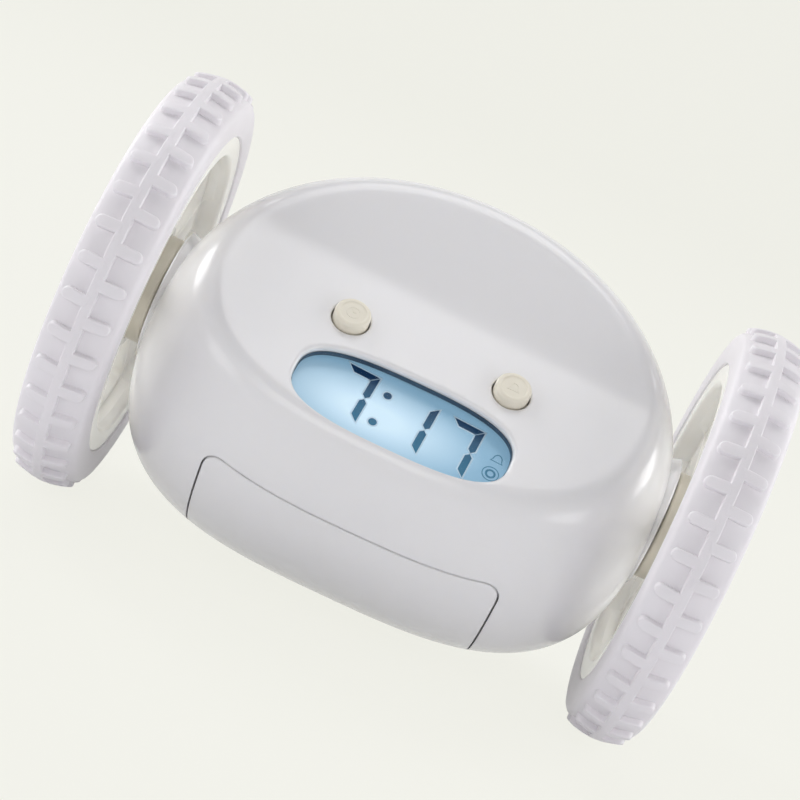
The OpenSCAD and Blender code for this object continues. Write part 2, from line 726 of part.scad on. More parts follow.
module middle_gear(side) color("#f0efe9") at_axle() on_side(side) difference() {
    union() {
        gear(big_teeth, mid_gear, train_dir2, big_x, big_x + gear_t);
        gear(pinion_teeth, mid_gear, train_dir1 + 180 + 180 / pinion_teeth, mid_pinion_x, mid_end_x);
    }
    rod_at(mid_gear, 0, far, pin_r + run_gap);
}

module gear_pin(side) color(steel) at_axle() on_side(side) rod_at(mid_gear, frame_x, cover_out, pin_r);

module gear_frame(side) color("#d9d8d2") at_axle() on_side(side) difference() {
    union() {
        slab_x(frame_x, frame_out) {
            hull() {
                circle(5, $fn = 32);
                translate(motor_at) circle(motor_r, $fn = 32);
                translate(pillars[1]) circle(pillar_r + 0.6, $fn = 32);
            }
            hull() {
                circle(5, $fn = 32);
                translate(pillars[0]) circle(pillar_r + 0.6, $fn = 32);
                translate(mid_gear) circle(4, $fn = 32);
            }
        }
        for (p = pillars) rod_at(p, frame_x, cover_x, pillar_r);
    }
    rod_x(0, far, axle_r + run_gap);
    rod_at(mid_gear, 0, far, pin_r);
    rod_at(motor_at, 0, far, 2.2);
}

module gear_cover(side) color("#d9d8d2") at_axle() on_side(side) difference() {
    slab_x(cover_x, cover_out) for (p = concat(pillars, [mid_gear])) hull() {
        circle(4.6, $fn = 32);
        translate(p) circle(pillar_r + 1, $fn = 32);
    }
    rod_x(0, far, axle_r + run_gap);
    rod_at(mid_gear, 0, far, pin_r);
}

module motor(side) color(steel) at_axle() on_side(side) difference() {
    union() {
        slab_x(motor_x + 2, frame_x) translate(motor_at) motor_outline(0);
        slab_x(motor_x, motor_x + 2) translate(motor_at) motor_outline(0.6);
        rod_at(motor_at, frame_x, frame_out, 2.2);
    }
    rod_at(motor_at, motor_x + 1.4, far, shaft_r + run_gap);
}
module motor_outline(inset) rotate(atan2(motor_at[1], motor_at[0])) intersection() {
    circle(motor_r - inset, $fn = 64);
    square([motor_flat - 2 * inset, 3 * motor_r], center = true);
}

module motor_rotor(side) color(brass) at_axle() on_side(side) {
    rod_at(motor_at, motor_x + 1.6, big_x - 0.4, shaft_r);
    gear(pinion_teeth, motor_at, train_dir2 + 180 + 180 / pinion_teeth, big_x - 0.4, big_x + gear_t + 0.4);
}

// ================= Leads =================

lead_r = 0.6;
lead_sides = 8;
board_back = board_front - board_t - 0.1;
rear_board_back = rear_board_front - board_t - 0.1;
lead_x = well_in_x + well_wall + lead_r + 0.25;  // the battery leads, just outside the well

function unit(v) = v / norm(v);
// A point given across the axle in a turned frame: up the plane, and out along its normal.
function across(elevation, x, v, z) = [x, v * sin(elevation) - z * cos(elevation),
                                       v * cos(elevation) + z * sin(elevation)];

// One insulated wire along a route that never runs along the axle.
module lead(route) {
    last = len(route) - 1;
    rings = [for (i = [0 : last], k = [0 : lead_sides - 1])
        let (t = unit(route[min(i + 1, last)] - route[max(i - 1, 0)]),
             n = unit(cross(t, [1, 0, 0])),
             b = cross(t, n),
             a = k * 360 / lead_sides)
        route[i] + lead_r * (cos(a) * n + sin(a) * b)];
    side = [for (i = [0 : last - 1], k = [0 : lead_sides - 1])
        let (n = (k + 1) % lead_sides, a = i * lead_sides)
        [a + k, a + n, a + n + lead_sides, a + k + lead_sides]];
    walls = [for (q = side, half = [0, 1]) half == 0 ? [q[0], q[1], q[2]] : [q[0], q[2], q[3]]];
    end_a = [for (k = [lead_sides - 1 : -1 : 0]) k];
    end_b = [for (k = [0 : lead_sides - 1]) last * lead_sides + k];
    polyhedron(rings, concat(walls, [end_a, end_b]));
}

module motor_leads() color("#c8382e") at_axle()
    for (s = [LEFT, RIGHT], x = [motor_x + 3, motor_x + 6]) on_side(s)
        lead([[x, 13, -9], [x, 12, -6], [x, 9, -2], [x, 5, 2], [x, 0, 5], [x, -5, 7],
              across(plate_tilt, x, -2, board_back - 2), across(plate_tilt, x, -2, board_back)]);

module battery_leads() color("#2b2b2d") at_axle() for (s = [LEFT, RIGHT]) on_side(s)
    lead([[lead_x, -17, -10], [lead_x, -15, -7], [lead_x, -13, -3], [lead_x - 0.3, -11, 1],
          [lead_x - 1.3, -10, 4], [lead_x - 3.3, -11, 7],
          across(plate_tilt, lead_x - 4.3, -4, board_back - 2),
          across(plate_tilt, lead_x - 4.3, -4, board_back)]);

module speaker_leads() color("#c8382e") at_axle() for (x = [-2, 2])
    lead([across(speaker_tilt, x, -9, speaker_front - speaker_t - 0.1),
          across(speaker_tilt, x, -9, speaker_front - speaker_t - 2), [x, 21, 7], [x, 18.5, 10],
          [x, 17.5, 13], across(rear_tilt, x, 1, rear_board_back - 2),
          across(rear_tilt, x, 1, rear_board_back)]);

module board_leads() color("#e0dfd8") at_axle() for (x = [-3, 0, 3])
    lead([across(rear_tilt, x, -9, rear_board_back), across(rear_tilt, x, -9, rear_board_back - 2),
          [x, 10, 20], [x, 4, 19], [x, -1, 17],
          across(plate_tilt, x, 4, board_back - 2), across(plate_tilt, x, 4, board_back)]);

// One node for each side of each piece that is there twice.
module left_wheel() wheel(LEFT);
module left_tyre() tyre(LEFT);
module left_hub_cap() hub_cap(LEFT);
module left_wheel_screw() wheel_screw(LEFT);
module left_axle() axle(LEFT);
module left_bushing() bushing(LEFT);
module left_output_gear() output_gear(LEFT);
module left_middle_gear() middle_gear(LEFT);
module left_gear_pin() gear_pin(LEFT);
module left_gear_frame() gear_frame(LEFT);
module left_gear_cover() gear_cover(LEFT);
module left_motor() motor(LEFT);
module left_motor_rotor() motor_rotor(LEFT);

module right_wheel() wheel(RIGHT);
module right_tyre() tyre(RIGHT);
module right_hub_cap() hub_cap(RIGHT);
module right_wheel_screw() wheel_screw(RIGHT);
module right_axle() axle(RIGHT);
module right_bushing() bushing(RIGHT);
module right_output_gear() output_gear(RIGHT);
module right_middle_gear() middle_gear(RIGHT);
module right_gear_pin() gear_pin(RIGHT);
module right_gear_frame() gear_frame(RIGHT);
module right_gear_cover() gear_cover(RIGHT);
module right_motor() motor(RIGHT);
module right_motor_rotor() motor_rotor(RIGHT);

front_shell();
rear_shell();
battery_door();
display_lens();
lcd_panel();
lcd_backlight();
main_board();
board_chip();
front_switches();
board_screws();
left_front_button();
right_front_button();
snooze_button();
hour_button();
minute_button();
rear_board();
rear_switches();
loudspeaker();
speaker_ring();
battery_tray();
battery_contacts();
battery_1();
battery_2();
battery_3();
battery_4();
shell_screws();
left_wheel();
left_tyre();
left_hub_cap();
left_wheel_screw();
left_axle();
left_bushing();
left_output_gear();
left_middle_gear();
left_gear_pin();
left_gear_frame();
left_gear_cover();
left_motor();
left_motor_rotor();
right_wheel();
right_tyre();
right_hub_cap();
right_wheel_screw();
right_axle();
right_bushing();
right_output_gear();
right_middle_gear();
right_gear_pin();
right_gear_frame();
right_gear_cover();
right_motor();
right_motor_rotor();
motor_leads();
battery_leads();
speaker_leads();
board_leads();
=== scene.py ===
import math

import bmesh
import bpy
from mathutils import Matrix, Vector


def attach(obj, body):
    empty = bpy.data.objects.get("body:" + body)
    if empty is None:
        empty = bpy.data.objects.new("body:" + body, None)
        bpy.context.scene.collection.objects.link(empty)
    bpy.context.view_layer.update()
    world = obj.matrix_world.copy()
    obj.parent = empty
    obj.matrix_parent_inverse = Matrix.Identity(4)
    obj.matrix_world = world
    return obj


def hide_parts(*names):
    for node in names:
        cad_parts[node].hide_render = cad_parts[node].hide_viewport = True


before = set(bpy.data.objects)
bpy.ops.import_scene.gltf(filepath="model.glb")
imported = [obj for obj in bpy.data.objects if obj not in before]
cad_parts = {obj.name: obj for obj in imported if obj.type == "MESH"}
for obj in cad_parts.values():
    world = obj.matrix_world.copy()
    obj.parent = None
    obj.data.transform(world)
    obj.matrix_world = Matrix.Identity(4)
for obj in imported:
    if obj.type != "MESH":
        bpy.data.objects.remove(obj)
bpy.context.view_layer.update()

# ---- Camera ----
# The picture looks at the face from a little above, close enough for some perspective,
# with the camera rolled so that the clock leans to the right. Distances in metres.
WHEEL_R = 42.2                    # mm, the axle's height over the floor
MM = 0.001
CAMERA_TURN = math.radians(1.18)
CAMERA_RISE = math.radians(12)
CAMERA_ROLL = math.radians(24.7)
CAMERA_DISTANCE = 0.44
CAMERA_SHIFT = (-0.00178, 0.00147)
SENSOR_WIDTH = 36
LENS = 103.61

back = Vector((math.sin(CAMERA_TURN) * math.cos(CAMERA_RISE),
               -math.cos(CAMERA_TURN) * math.cos(CAMERA_RISE), math.sin(CAMERA_RISE)))
level = Vector((math.cos(CAMERA_TURN), math.sin(CAMERA_TURN), 0))
upright = back.cross(level)
across = math.cos(CAMERA_ROLL) * level + math.sin(CAMERA_ROLL) * upright
upward = math.cos(CAMERA_ROLL) * upright - math.sin(CAMERA_ROLL) * level
camera_data = bpy.data.cameras.new("camera")
camera_data.sensor_width = SENSOR_WIDTH
camera_data.lens = LENS
camera_data.clip_start = 0.01
camera = bpy.data.objects.new("camera", camera_data)
bpy.context.scene.collection.objects.link(camera)
spot = CAMERA_DISTANCE * back + CAMERA_SHIFT[0] * across + CAMERA_SHIFT[1] * upward
camera.matrix_world = Matrix((across, upward, back)).transposed().to_4x4()
camera.location = spot + Vector((0, 0, WHEEL_R * MM))
bpy.context.scene.camera = camera
bpy.context.scene.view_settings.view_transform = "Standard"


# ---- Studio ----
# A pale round sweep, floor and wall in one, with large soft lamps over and beside the
# clock. The camera sees the sweep in its own even colour, and a light shadow on it.
STUDIO_PALE = "#f3f3eb"
STUDIO_LIT = "#eeeef0"
SWEEP_RADIUS = 1.6
SWEEP_BEND = 0.5
SWEEP_HEIGHT = 1.5
SWEEP_STEPS = 96                  # round the sweep
BEND_STEPS = 12
EVEN_SHARE = 0.93                 # of the sweep's colour that is even, the rest is lit
WORLD_LIGHT = 0.08


def colour(code):
    """Linear colour of an sRGB hex code."""
    parts = [int(code[i:i + 2], 16) / 255 for i in (1, 3, 5)]
    return [p / 12.92 if p <= 0.04045 else ((p + 0.055) / 1.055) ** 2.4 for p in parts] + [1]


def add(tree, kind, settings=None, links=None):
    """Adds a shader node, sets its sockets or properties and links its inputs to outputs."""
    made = tree.nodes.new("ShaderNode" + kind)
    for name, value in (settings or {}).items():
        if isinstance(name, int) or name in made.inputs:
            made.inputs[name].default_value = value
        else:
            setattr(made, name, value)
    for name, (source, output) in (links or {}).items():
        tree.links.new(source.outputs[output], made.inputs[name])
    return made


def new_material(name):
    """An empty material's node tree."""
    made = bpy.data.materials.new(name)
    made.use_nodes = True
    made.node_tree.nodes.clear()
    return made, made.node_tree


def make_sweep():
    # Matt paint that scatters the lamps evenly. Seen by the camera it is mostly its own pale
    # colour, so that it stays even, and the small lit share keeps the clock's shadow.
    sweep, tree = new_material("painted_sweep")
    path = add(tree, "LightPath")
    seen = add(tree, "Math", {"operation": "MAXIMUM"},
               {0: (path, "Is Camera Ray"), 1: (path, "Is Glossy Ray")})
    seen = add(tree, "Math", {"operation": "MAXIMUM"},
               {0: (seen, 0), 1: (path, "Is Transmission Ray")})
    share = add(tree, "Math", {"operation": "MULTIPLY", 1: EVEN_SHARE}, {0: (seen, 0)})
    lit = add(tree, "BsdfDiffuse", {"Color": colour(STUDIO_LIT)})
    even = add(tree, "Emission", {"Color": colour(STUDIO_PALE)})
    both = add(tree, "MixShader", {}, {0: (share, 0), 1: (lit, 0), 2: (even, 0)})
    add(tree, "OutputMaterial", {}, {"Surface": (both, 0)})

    bowl = bmesh.new()
    bend = [(SWEEP_RADIUS - SWEEP_BEND + SWEEP_BEND * math.sin(a), SWEEP_BEND * (1 - math.cos(a)))
            for a in (math.pi / 2 * i / BEND_STEPS for i in range(BEND_STEPS + 1))]
    outline = [(0, 0)] + bend + [(SWEEP_RADIUS, SWEEP_HEIGHT)]
    verts = [bowl.verts.new((r, 0, z)) for r, z in outline]
    edges = [bowl.edges.new(pair) for pair in zip(verts, verts[1:])]
    bmesh.ops.spin(bowl, geom=verts + edges, cent=(0, 0, 0), axis=(0, 0, 1),
                   angle=2 * math.pi, steps=SWEEP_STEPS, use_merge=True)
    bmesh.ops.remove_doubles(bowl, verts=bowl.verts, dist=1e-6)
    mesh = bpy.data.meshes.new("sweep")
    bowl.to_mesh(mesh)
    bowl.free()
    mesh.shade_smooth()
    mesh.materials.append(sweep)
    made = bpy.data.objects.new("sweep", mesh)
    bpy.context.scene.collection.objects.link(made)


def soft_lamp(name, place, size, power):
    """A large white rectangular lamp that faces the middle of the axle, in metres and watts."""
    data = bpy.data.lights.new(name + "_lamp", "AREA")
    data.shape = "RECTANGLE"
    data.size, data.size_y = size
    data.energy = power
    data.color = colour("#ffffff")[:3]
    lamp = bpy.data.objects.new(name + "_lamp", data)
    bpy.context.scene.collection.objects.link(lamp)
    lamp.location = place
    towards = Vector((0, 0, WHEEL_R * MM)) - Vector(place)
    lamp.rotation_euler = towards.to_track_quat("-Z", "Y").to_euler()


def make_lights():
    soft_lamp("rear_left", (-0.72, 0.32, 0.50), (0.3, 0.7), 3.3)
    soft_lamp("rear_right", (0.72, 0.32, 0.50), (0.3, 0.7), 2.8)
    soft_lamp("top", (-0.10, 0.15, 0.95), (0.7, 0.5), 2.5)
    soft_lamp("left", (-0.90, -0.15, 0.30), (0.4, 0.7), 1.8)
    soft_lamp("right", (0.90, -0.15, 0.30), (0.4, 0.7), 1.9)
    soft_lamp("low_left", (-0.75, -0.50, 0.12), (0.4, 0.4), 1.0)
    soft_lamp("low_right", (0.75, -0.50, 0.12), (0.4, 0.4), 1.3)
    soft_lamp("front", (-0.15, -0.90, 0.50), (0.6, 0.4), 1.35)

    # An even, slightly cool light from all round, which the camera sees as the studio's colour.
    world = bpy.data.worlds.new("studio")
    bpy.context.scene.world = world
    world.use_nodes = True
    tree = world.node_tree
    tree.nodes.clear()
    path = add(tree, "LightPath")
    lit = add(tree, "Background", {"Color": colour("#f7f9ff"), "Strength": WORLD_LIGHT})
    seen = add(tree, "Background", {"Color": colour(STUDIO_PALE), "Strength": 1})
    both = add(tree, "MixShader", {},
               {0: (path, "Is Camera Ray"), 1: (lit, 0), 2: (seen, 0)})
    add(tree, "OutputWorld", {}, {"Surface": (both, 0)})


make_sweep()
make_lights()


# ---- Body shells ----
# Two glossy white ABS mouldings, front and rear, that meet on a plane square to the look
# of the face. The front one is scooped out round the face. All sizes from here on are in
# millimetres, in a frame on the axle.
HALF_LEN = 51.5
BODY_R = 40.5
BODY_LIFT = 1.2
BODY_SQUARE = 2.6                 # roundness exponent half way up
BODY_SWING = 0.55                 # rounder on top, squarer below
SHELL_WALL = 2.2
PARTING_TILT = 12
PARTING_GAP = 0.05
PARTING_CHAMFER = 0.3
COLLAR_R = 13
BORE_R = 4
PLATE_TILT = 52
PLATE_DIST = 24.3
SCOOP_START = 2
SCOOP_BEND = 30
SCOOP_SLOPE = math.radians(11)
RIM_SOFTNESS = 3.4                # how deep the round of the dish's rim reaches
SKIN_FINE = (320, 160)            # faces round and along the axle
SKIN_PLAIN = (160, 80)
FAR = 120                         # past every side of the body, for cutters
QUARTER = math.pi / 2


def at(x, y, z):
    """A shift in mm."""
    return Matrix.Translation((x, y, z))


def turned(angle, axis):
    """A turn about an axis."""
    return Matrix.Rotation(angle, 4, axis)


def facing(elevation):
    """The frame whose Z points to an elevation in front of the body, as a matrix in mm."""
    return at(0, 0, WHEEL_R) @ turned(math.radians(90 - elevation), "X")


def moved(solid, *matrices):
    """Transforms a solid by matrices, the last one first."""
    for matrix in reversed(matrices):
        bmesh.ops.transform(solid, matrix=matrix, verts=solid.verts)
    return solid


def skin_point(direction, inset):
    """Where the body's superellipse skin, set in by some millimetres, lies in a direction."""
    x, y, z = direction
    round_axle = max(math.hypot(y, z), 1e-9)
    rise = z / round_axle
    square = BODY_SQUARE - BODY_SWING * rise
    reach = BODY_R + BODY_LIFT * rise - inset
    size = (abs(x) / (HALF_LEN - inset)) ** square + (round_axle / reach) ** square
    return Vector(direction) * size ** (-1 / square)


def face_height(up):
    """Height of the flat plate, the bend and the scoop at a distance up the plate."""
    bend_end = SCOOP_START + SCOOP_BEND * math.sin(SCOOP_SLOPE)
    if up < SCOOP_START:
        return PLATE_DIST
    if up < bend_end:
        return PLATE_DIST + SCOOP_BEND - math.sqrt(SCOOP_BEND ** 2 - (up - SCOOP_START) ** 2)
    return PLATE_DIST + SCOOP_BEND * (1 - math.cos(SCOOP_SLOPE)) + (up - bend_end) * math.tan(SCOOP_SLOPE)


plate = facing(PLATE_TILT)
from_plate = plate.inverted()
parting = facing(PARTING_TILT)
skins = {}                        # each skin that body_skin has made, to copy


def dished(point, depth):
    """Presses a point of the skin down to the face, with a round rim."""
    local = from_plate @ point
    floor = face_height(local.y) - depth
    near = max(RIM_SOFTNESS - abs(local.z - floor), 0)
    local.z = min(local.z, floor) - near ** 2 / (4 * RIM_SOFTNESS)
    return plate @ local


def body_skin(inset, fineness=SKIN_FINE):
    """The closed skin of the body with its scooped face."""
    if (inset, fineness) not in skins:
        skin = bmesh.new()
        bmesh.ops.create_uvsphere(skin, u_segments=fineness[0], v_segments=fineness[1], radius=1,
                                  matrix=turned(QUARTER, "Y"))
        for vert in skin.verts:
            vert.co = dished(skin_point(vert.co, inset) + Vector((0, 0, WHEEL_R)), inset)
        bmesh.ops.recalc_face_normals(skin, faces=skin.faces)
        skins[inset, fineness] = skin
    return skins[inset, fineness].copy()


def circle(radius, count=96):
    """A round outline that can be grown."""
    turns = [2 * math.pi * i / count for i in range(count)]
    return lambda grow: [((radius + grow) * math.cos(t), (radius + grow) * math.sin(t)) for t in turns]


def rounded_bar(width, height, corner, count=8):
    """A rectangle with round corners, as an outline that can be grown."""
    def outline(grow):
        points = []
        for k, (sx, sy) in enumerate(((1, 1), (-1, 1), (-1, -1), (1, -1))):
            for i in range(count + 1):
                t = QUARTER * (k + i / count)
                points.append((sx * (width / 2 - corner) + (corner + grow) * math.cos(t),
                               sy * (height / 2 - corner) + (corner + grow) * math.sin(t)))
        return points
    return outline


def loft(outline, steps, margin=0):
    """A closed solid through an outline: each step is a height and how far the outline is
    grown. A margin keeps the flat ends flat next to a rounded edge."""
    solid = bmesh.new()
    ring = [solid.verts.new((x, y, steps[0][0])) for x, y in outline(steps[0][1])]
    loops = [[solid.edges.new(pair) for pair in zip(ring, ring[1:] + ring[:1])]]
    for height, grow in steps[1:]:
        made = set(bmesh.ops.extrude_edge_only(solid, edges=loops[-1])["geom"])
        ring = [next(e.other_vert(v) for e in v.link_edges if e.other_vert(v) in made) for v in ring]
        for vert, (x, y) in zip(ring, outline(grow)):
            vert.co = (x, y, height)
        loops.append([solid.edges.get(pair) for pair in zip(ring, ring[1:] + ring[:1])])
    for end in (loops[0], loops[-1]):
        lid = bmesh.ops.edgeloop_fill(solid, edges=end)["faces"]
        if margin:
            bmesh.ops.inset_region(solid, faces=lid, thickness=margin, use_even_offset=True)
    bmesh.ops.recalc_face_normals(solid, faces=solid.faces)
    return solid


def rounding(height, radius, way, count=4):
    """Steps of a rounded edge that ends at a height: way 1 flares out, way -1 draws in."""
    turns = [QUARTER * i / count for i in range(count + 1)]
    return [(height - radius * (1 - math.sin(t)), way * radius * (1 - math.cos(t))) for t in turns]


def slabbed(outline, low, high, grow=0):
    """A plain slab of an outline, from one height to another."""
    return loft(outline, [(low, grow), (high, grow)])


def axle_rod(radius, count=96):
    """A long rod along the axle."""
    return moved(slabbed(circle(radius, count), -FAR, FAR), at(0, 0, WHEEL_R), turned(QUARTER, "Y"))


def joined(*solids):
    """Several solids in one, without cutting them."""
    first = solids[0]
    for other in solids[1:]:
        mesh = bpy.data.meshes.new("joining")
        other.to_mesh(mesh)
        other.free()
        first.from_mesh(mesh)
        bpy.data.meshes.remove(mesh)
    return first


def combined(base, tool, operation):
    """The boolean of two closed solids."""
    holders = []
    for solid in (base, tool):
        mesh = bpy.data.meshes.new("holder")
        solid.to_mesh(mesh)
        solid.free()
        holders.append(bpy.data.objects.new("holder", mesh))
        bpy.context.scene.collection.objects.link(holders[-1])
    modifier = holders[0].modifiers.new("boolean", "BOOLEAN")
    modifier.operation = operation
    modifier.object = holders[1]
    modifier.solver = "MANIFOLD"
    result = bmesh.new()
    result.from_object(holders[0], bpy.context.evaluated_depsgraph_get())
    for holder in holders:
        mesh = holder.data
        bpy.data.objects.remove(holder)
        bpy.data.meshes.remove(mesh)
    return result


def piece(name, solid, body, material, replaced=(), sharp=32):
    """Makes a solid drawn in millimetres a piece of the clock."""
    moved(solid, Matrix.Scale(MM, 4))
    mesh = bpy.data.meshes.new(name)
    solid.to_mesh(mesh)
    solid.free()
    mesh.shade_smooth()
    mesh.set_sharp_from_angle(angle=math.radians(sharp))
    mesh.materials.clear()
    mesh.materials.append(material)
    made = bpy.data.objects.new(name, mesh)
    bpy.context.scene.collection.objects.link(made)
    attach(made, body)
    if replaced:
        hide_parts(*replaced)
    return made


def moulded_plastic(name, code, gloss, wave_mm=9, grain_mm=0.35, grain_height=0.004, through=0.0,
                    edge_mm=0.0):
    """Injection-moulded plastic: even colour with faint flow clouds, slow waves left by the
    shrinking of the wall, a fine skin from the mould's surface, and edges as soft as edge_mm."""
    made, tree = new_material(name)
    place = add(tree, "TexCoord")
    clouds = add(tree, "TexNoise", {"Scale": 1 / (wave_mm * 3 * MM), "Detail": 2},
                 {"Vector": (place, "Object")})
    base = colour(code)
    darker = [c * 0.965 for c in base[:3]] + [1]
    tone = add(tree, "Mix", {"data_type": "RGBA", 6: darker, 7: base}, {0: (clouds, 0)})
    skin = add(tree, "TexNoise", {"Scale": 1 / (grain_mm * MM), "Detail": 3},
               {"Vector": (place, "Object")})
    waves = add(tree, "TexNoise", {"Scale": 1 / (wave_mm * MM), "Detail": 1},
                {"Vector": (place, "Object")})
    shine = add(tree, "MapRange", {"To Min": gloss * 0.88, "To Max": gloss * 1.12},
                {"Value": (skin, 0)})
    slow = add(tree, "Bump", {"Strength": 0.25, "Distance": 0.06 * MM}, {"Height": (waves, 0)})
    if edge_mm:
        soft = add(tree, "Bevel", {"samples": 4, "Radius": edge_mm * MM})
        tree.links.new(soft.outputs[0], slow.inputs["Normal"])
    fine = add(tree, "Bump", {"Strength": 0.5, "Distance": grain_height * MM},
               {"Height": (skin, 0), "Normal": (slow, 0)})
    shader = add(tree, "BsdfPrincipled",
                 {"IOR": 1.54, "Subsurface Weight": through, "Subsurface Radius": (1.0, 0.9, 0.75),
                  "Subsurface Scale": 1.2 * MM},
                 {"Base Color": (tone, 2), "Roughness": (shine, 0), "Normal": (fine, 0)})
    add(tree, "OutputMaterial", {}, {"Surface": (shader, 0)})
    return made


# ABS from a polished mould: bright white, with clear soft-edged highlights and a little light
# that goes through its thin edges.
white_abs = moulded_plastic("gloss_white_abs", "#edeced", 0.2, through=0.15, edge_mm=0.3)

# The window's outline is a flat superellipse like a mouth. The two round holes sit over it.
MOUTH_W = 41.8
MOUTH_H = 17.4
MOUTH_SQUARE = 2.9
MOUTH_DROP = 22
MOUTH_LIP = 0.7
EYE_R = 3.4
EYE_X = 16
EYE_DROP = 7
BUTTON_GAP = 0.3
HOLE_LIP = 0.35


def mouth(grow):
    """The window's outline."""
    points = []
    for i in range(120):
        t = 2 * math.pi * i / 120
        cos, sin = math.cos(t), math.sin(t)
        points.append(((MOUTH_W / 2 + grow) * math.copysign(abs(cos) ** (2 / MOUTH_SQUARE), cos),
                       (MOUTH_H / 2 + grow) * math.copysign(abs(sin) ** (2 / MOUTH_SQUARE), sin)))
    return points


def lipped_cutter(outline, surface, lip):
    """A cutter for a hole whose edge is rounded where it meets a surface."""
    return loft(outline, [(0, 0)] + rounding(surface, lip, 1) + [(surface + 12, lip)])


# The door's opening with its ledge, and the long screws that hold the two shells.
DOOR_TILT = -49
DOOR_W = 58
DOOR_H = 31
DOOR_CORNER = 3.5
DOOR_GAP = 0.35
DOOR_LEDGE = 1.4
DOOR_T = 1.8
DOOR_SEAT_GAP = 0.15
WELL_FLOOR = 12.75
SHELL_SPOTS = ((-26, 27.5), (26, 27.5), (-36, -26.5), (36, -26.5))
POST_R = 3.8
POST_SINK = 0.7                   # how far the posts end under the body's skin
SCREW_HOLE_R = 1.2
SCREW_SEAT = -8
SCREW_BITE = 5
HEAD_R = 2.4
HEAD_T = 1.4
door_plane = facing(DOOR_TILT)
door_outline = rounded_bar(DOOR_W, DOOR_H, DOOR_CORNER)


def shell_half(side):
    """The front (1) or rear (-1) half of the body, hollow, with a fine chamfer at the joint."""
    half = body_skin(0)
    normal = parting.to_3x3() @ Vector((0, 0, side))
    for depth in (PARTING_GAP + 2 * PARTING_CHAMFER, PARTING_GAP + PARTING_CHAMFER, PARTING_GAP):
        bmesh.ops.bisect_plane(half, geom=half.verts[:] + half.edges[:] + half.faces[:], dist=1e-4,
                               plane_co=parting @ Vector((0, 0, side * depth)), plane_no=normal,
                               clear_inner=depth == PARTING_GAP)
    half.normal_update()
    inverse = parting.inverted()
    rim = [v for v in half.verts if abs((inverse @ v.co).z * side - PARTING_GAP) < 1e-3]
    for vert, inward in [(v, v.normal.copy()) for v in rim]:
        vert.co -= inward * PARTING_CHAMFER
    bmesh.ops.solidify(half, geom=half.faces[:], thickness=SHELL_WALL)
    bmesh.ops.recalc_face_normals(half, faces=half.faces)
    return half


def collars(side):
    """The flat round ends that the hubs run against, cut at the joint."""
    ends = []
    for way in (-1, 1):
        rim = rounding(HALF_LEN, 0.5, -1)
        disc = loft(circle(COLLAR_R), [(HALF_LEN - SHELL_WALL - 1.2, -1)] + rim)
        ends.append(moved(disc, at(0, 0, WHEEL_R), turned(way * QUARTER, "Y")))
    half_space = slabbed(rounded_bar(FAR, FAR, 1), PARTING_GAP, FAR)
    if side < 0:
        moved(half_space, turned(math.pi, "X"))
    return combined(joined(*ends), moved(half_space, parting), "INTERSECT")


def screw_posts(side):
    """The round posts for the long screws, from the joint out to the wall."""
    posts = [moved(slabbed(circle(POST_R, 48), PARTING_GAP, FAR), parting, at(x, v, 0),
                   turned(0 if side > 0 else math.pi, "X"))
             for x, v in SHELL_SPOTS]
    return combined(joined(*posts), body_skin(POST_SINK, SKIN_PLAIN), "INTERSECT")


def drilled(solid, radius, low, high):
    """Drills a round hole at each screw, square to the joint."""
    cutters = [moved(slabbed(circle(radius, 48), low, high), parting, at(x, v, 0))
               for x, v in SHELL_SPOTS]
    return combined(solid, joined(*cutters), "DIFFERENCE")


def make_front_shell():
    shell = combined(shell_half(1), collars(1), "UNION")
    shell = combined(shell, screw_posts(1), "UNION")
    cuts = [moved(lipped_cutter(mouth, PLATE_DIST, MOUTH_LIP), plate, at(0, -MOUTH_DROP, 0))]
    for x in (-EYE_X, EYE_X):
        cuts.append(moved(lipped_cutter(circle(EYE_R + BUTTON_GAP), PLATE_DIST, HOLE_LIP), plate,
                          at(x, -EYE_DROP, 0)))
    shell = combined(shell, joined(*cuts, axle_rod(BORE_R)), "DIFFERENCE")
    within = moved(slabbed(door_outline, WELL_FLOOR, FAR, -DOOR_LEDGE), door_plane)
    shell = combined(shell, within, "DIFFERENCE")
    seat = moved(slabbed(door_outline, WELL_FLOOR, FAR, DOOR_GAP), door_plane)
    seat = combined(seat, body_skin(DOOR_T + DOOR_SEAT_GAP, SKIN_PLAIN), "DIFFERENCE")
    shell = combined(shell, seat, "DIFFERENCE")
    shell = drilled(shell, SCREW_HOLE_R, -1, SCREW_BITE + 0.6)
    piece("front_casing", shell, "clock_body", white_abs, ["front_shell"])


make_front_shell()

# ---- Rear shell ----
# The same glossy ABS, with the holes of the rear buttons, seven sound slots over the
# loudspeaker and four deep round holes for the screws.
REAR_TILT = 140
SNOOZE_TILT = 128
SNOOZE_W = 30
SNOOZE_H = 10
SNOOZE_DIST = 41.6
SNOOZE_V = -SNOOZE_DIST * math.sin(math.radians(REAR_TILT - SNOOZE_TILT))
SET_TILT = 152
SET_R = 2.6
SET_X = 12
SET_DIST = 41
SET_V = SET_DIST * math.sin(math.radians(SET_TILT - REAR_TILT))
SPEAKER_TILT = 189
SPEAKER_FRONT = 34
SPEAKER_R = 13
SLOT_PITCH = 3
SLOT_H = 1.2
SLOT_EDGE = 3                     # from the slots' ends to the loudspeaker's edge
HOLES_FROM = 20                   # from the axle, where the cutters of the key holes start
SCREW_SLACK = 0.2
HEAD_SLACK = 0.3
rear = facing(REAR_TILT)
snooze_outline = rounded_bar(SNOOZE_W, SNOOZE_H, SNOOZE_H / 2 - 0.01, 16)


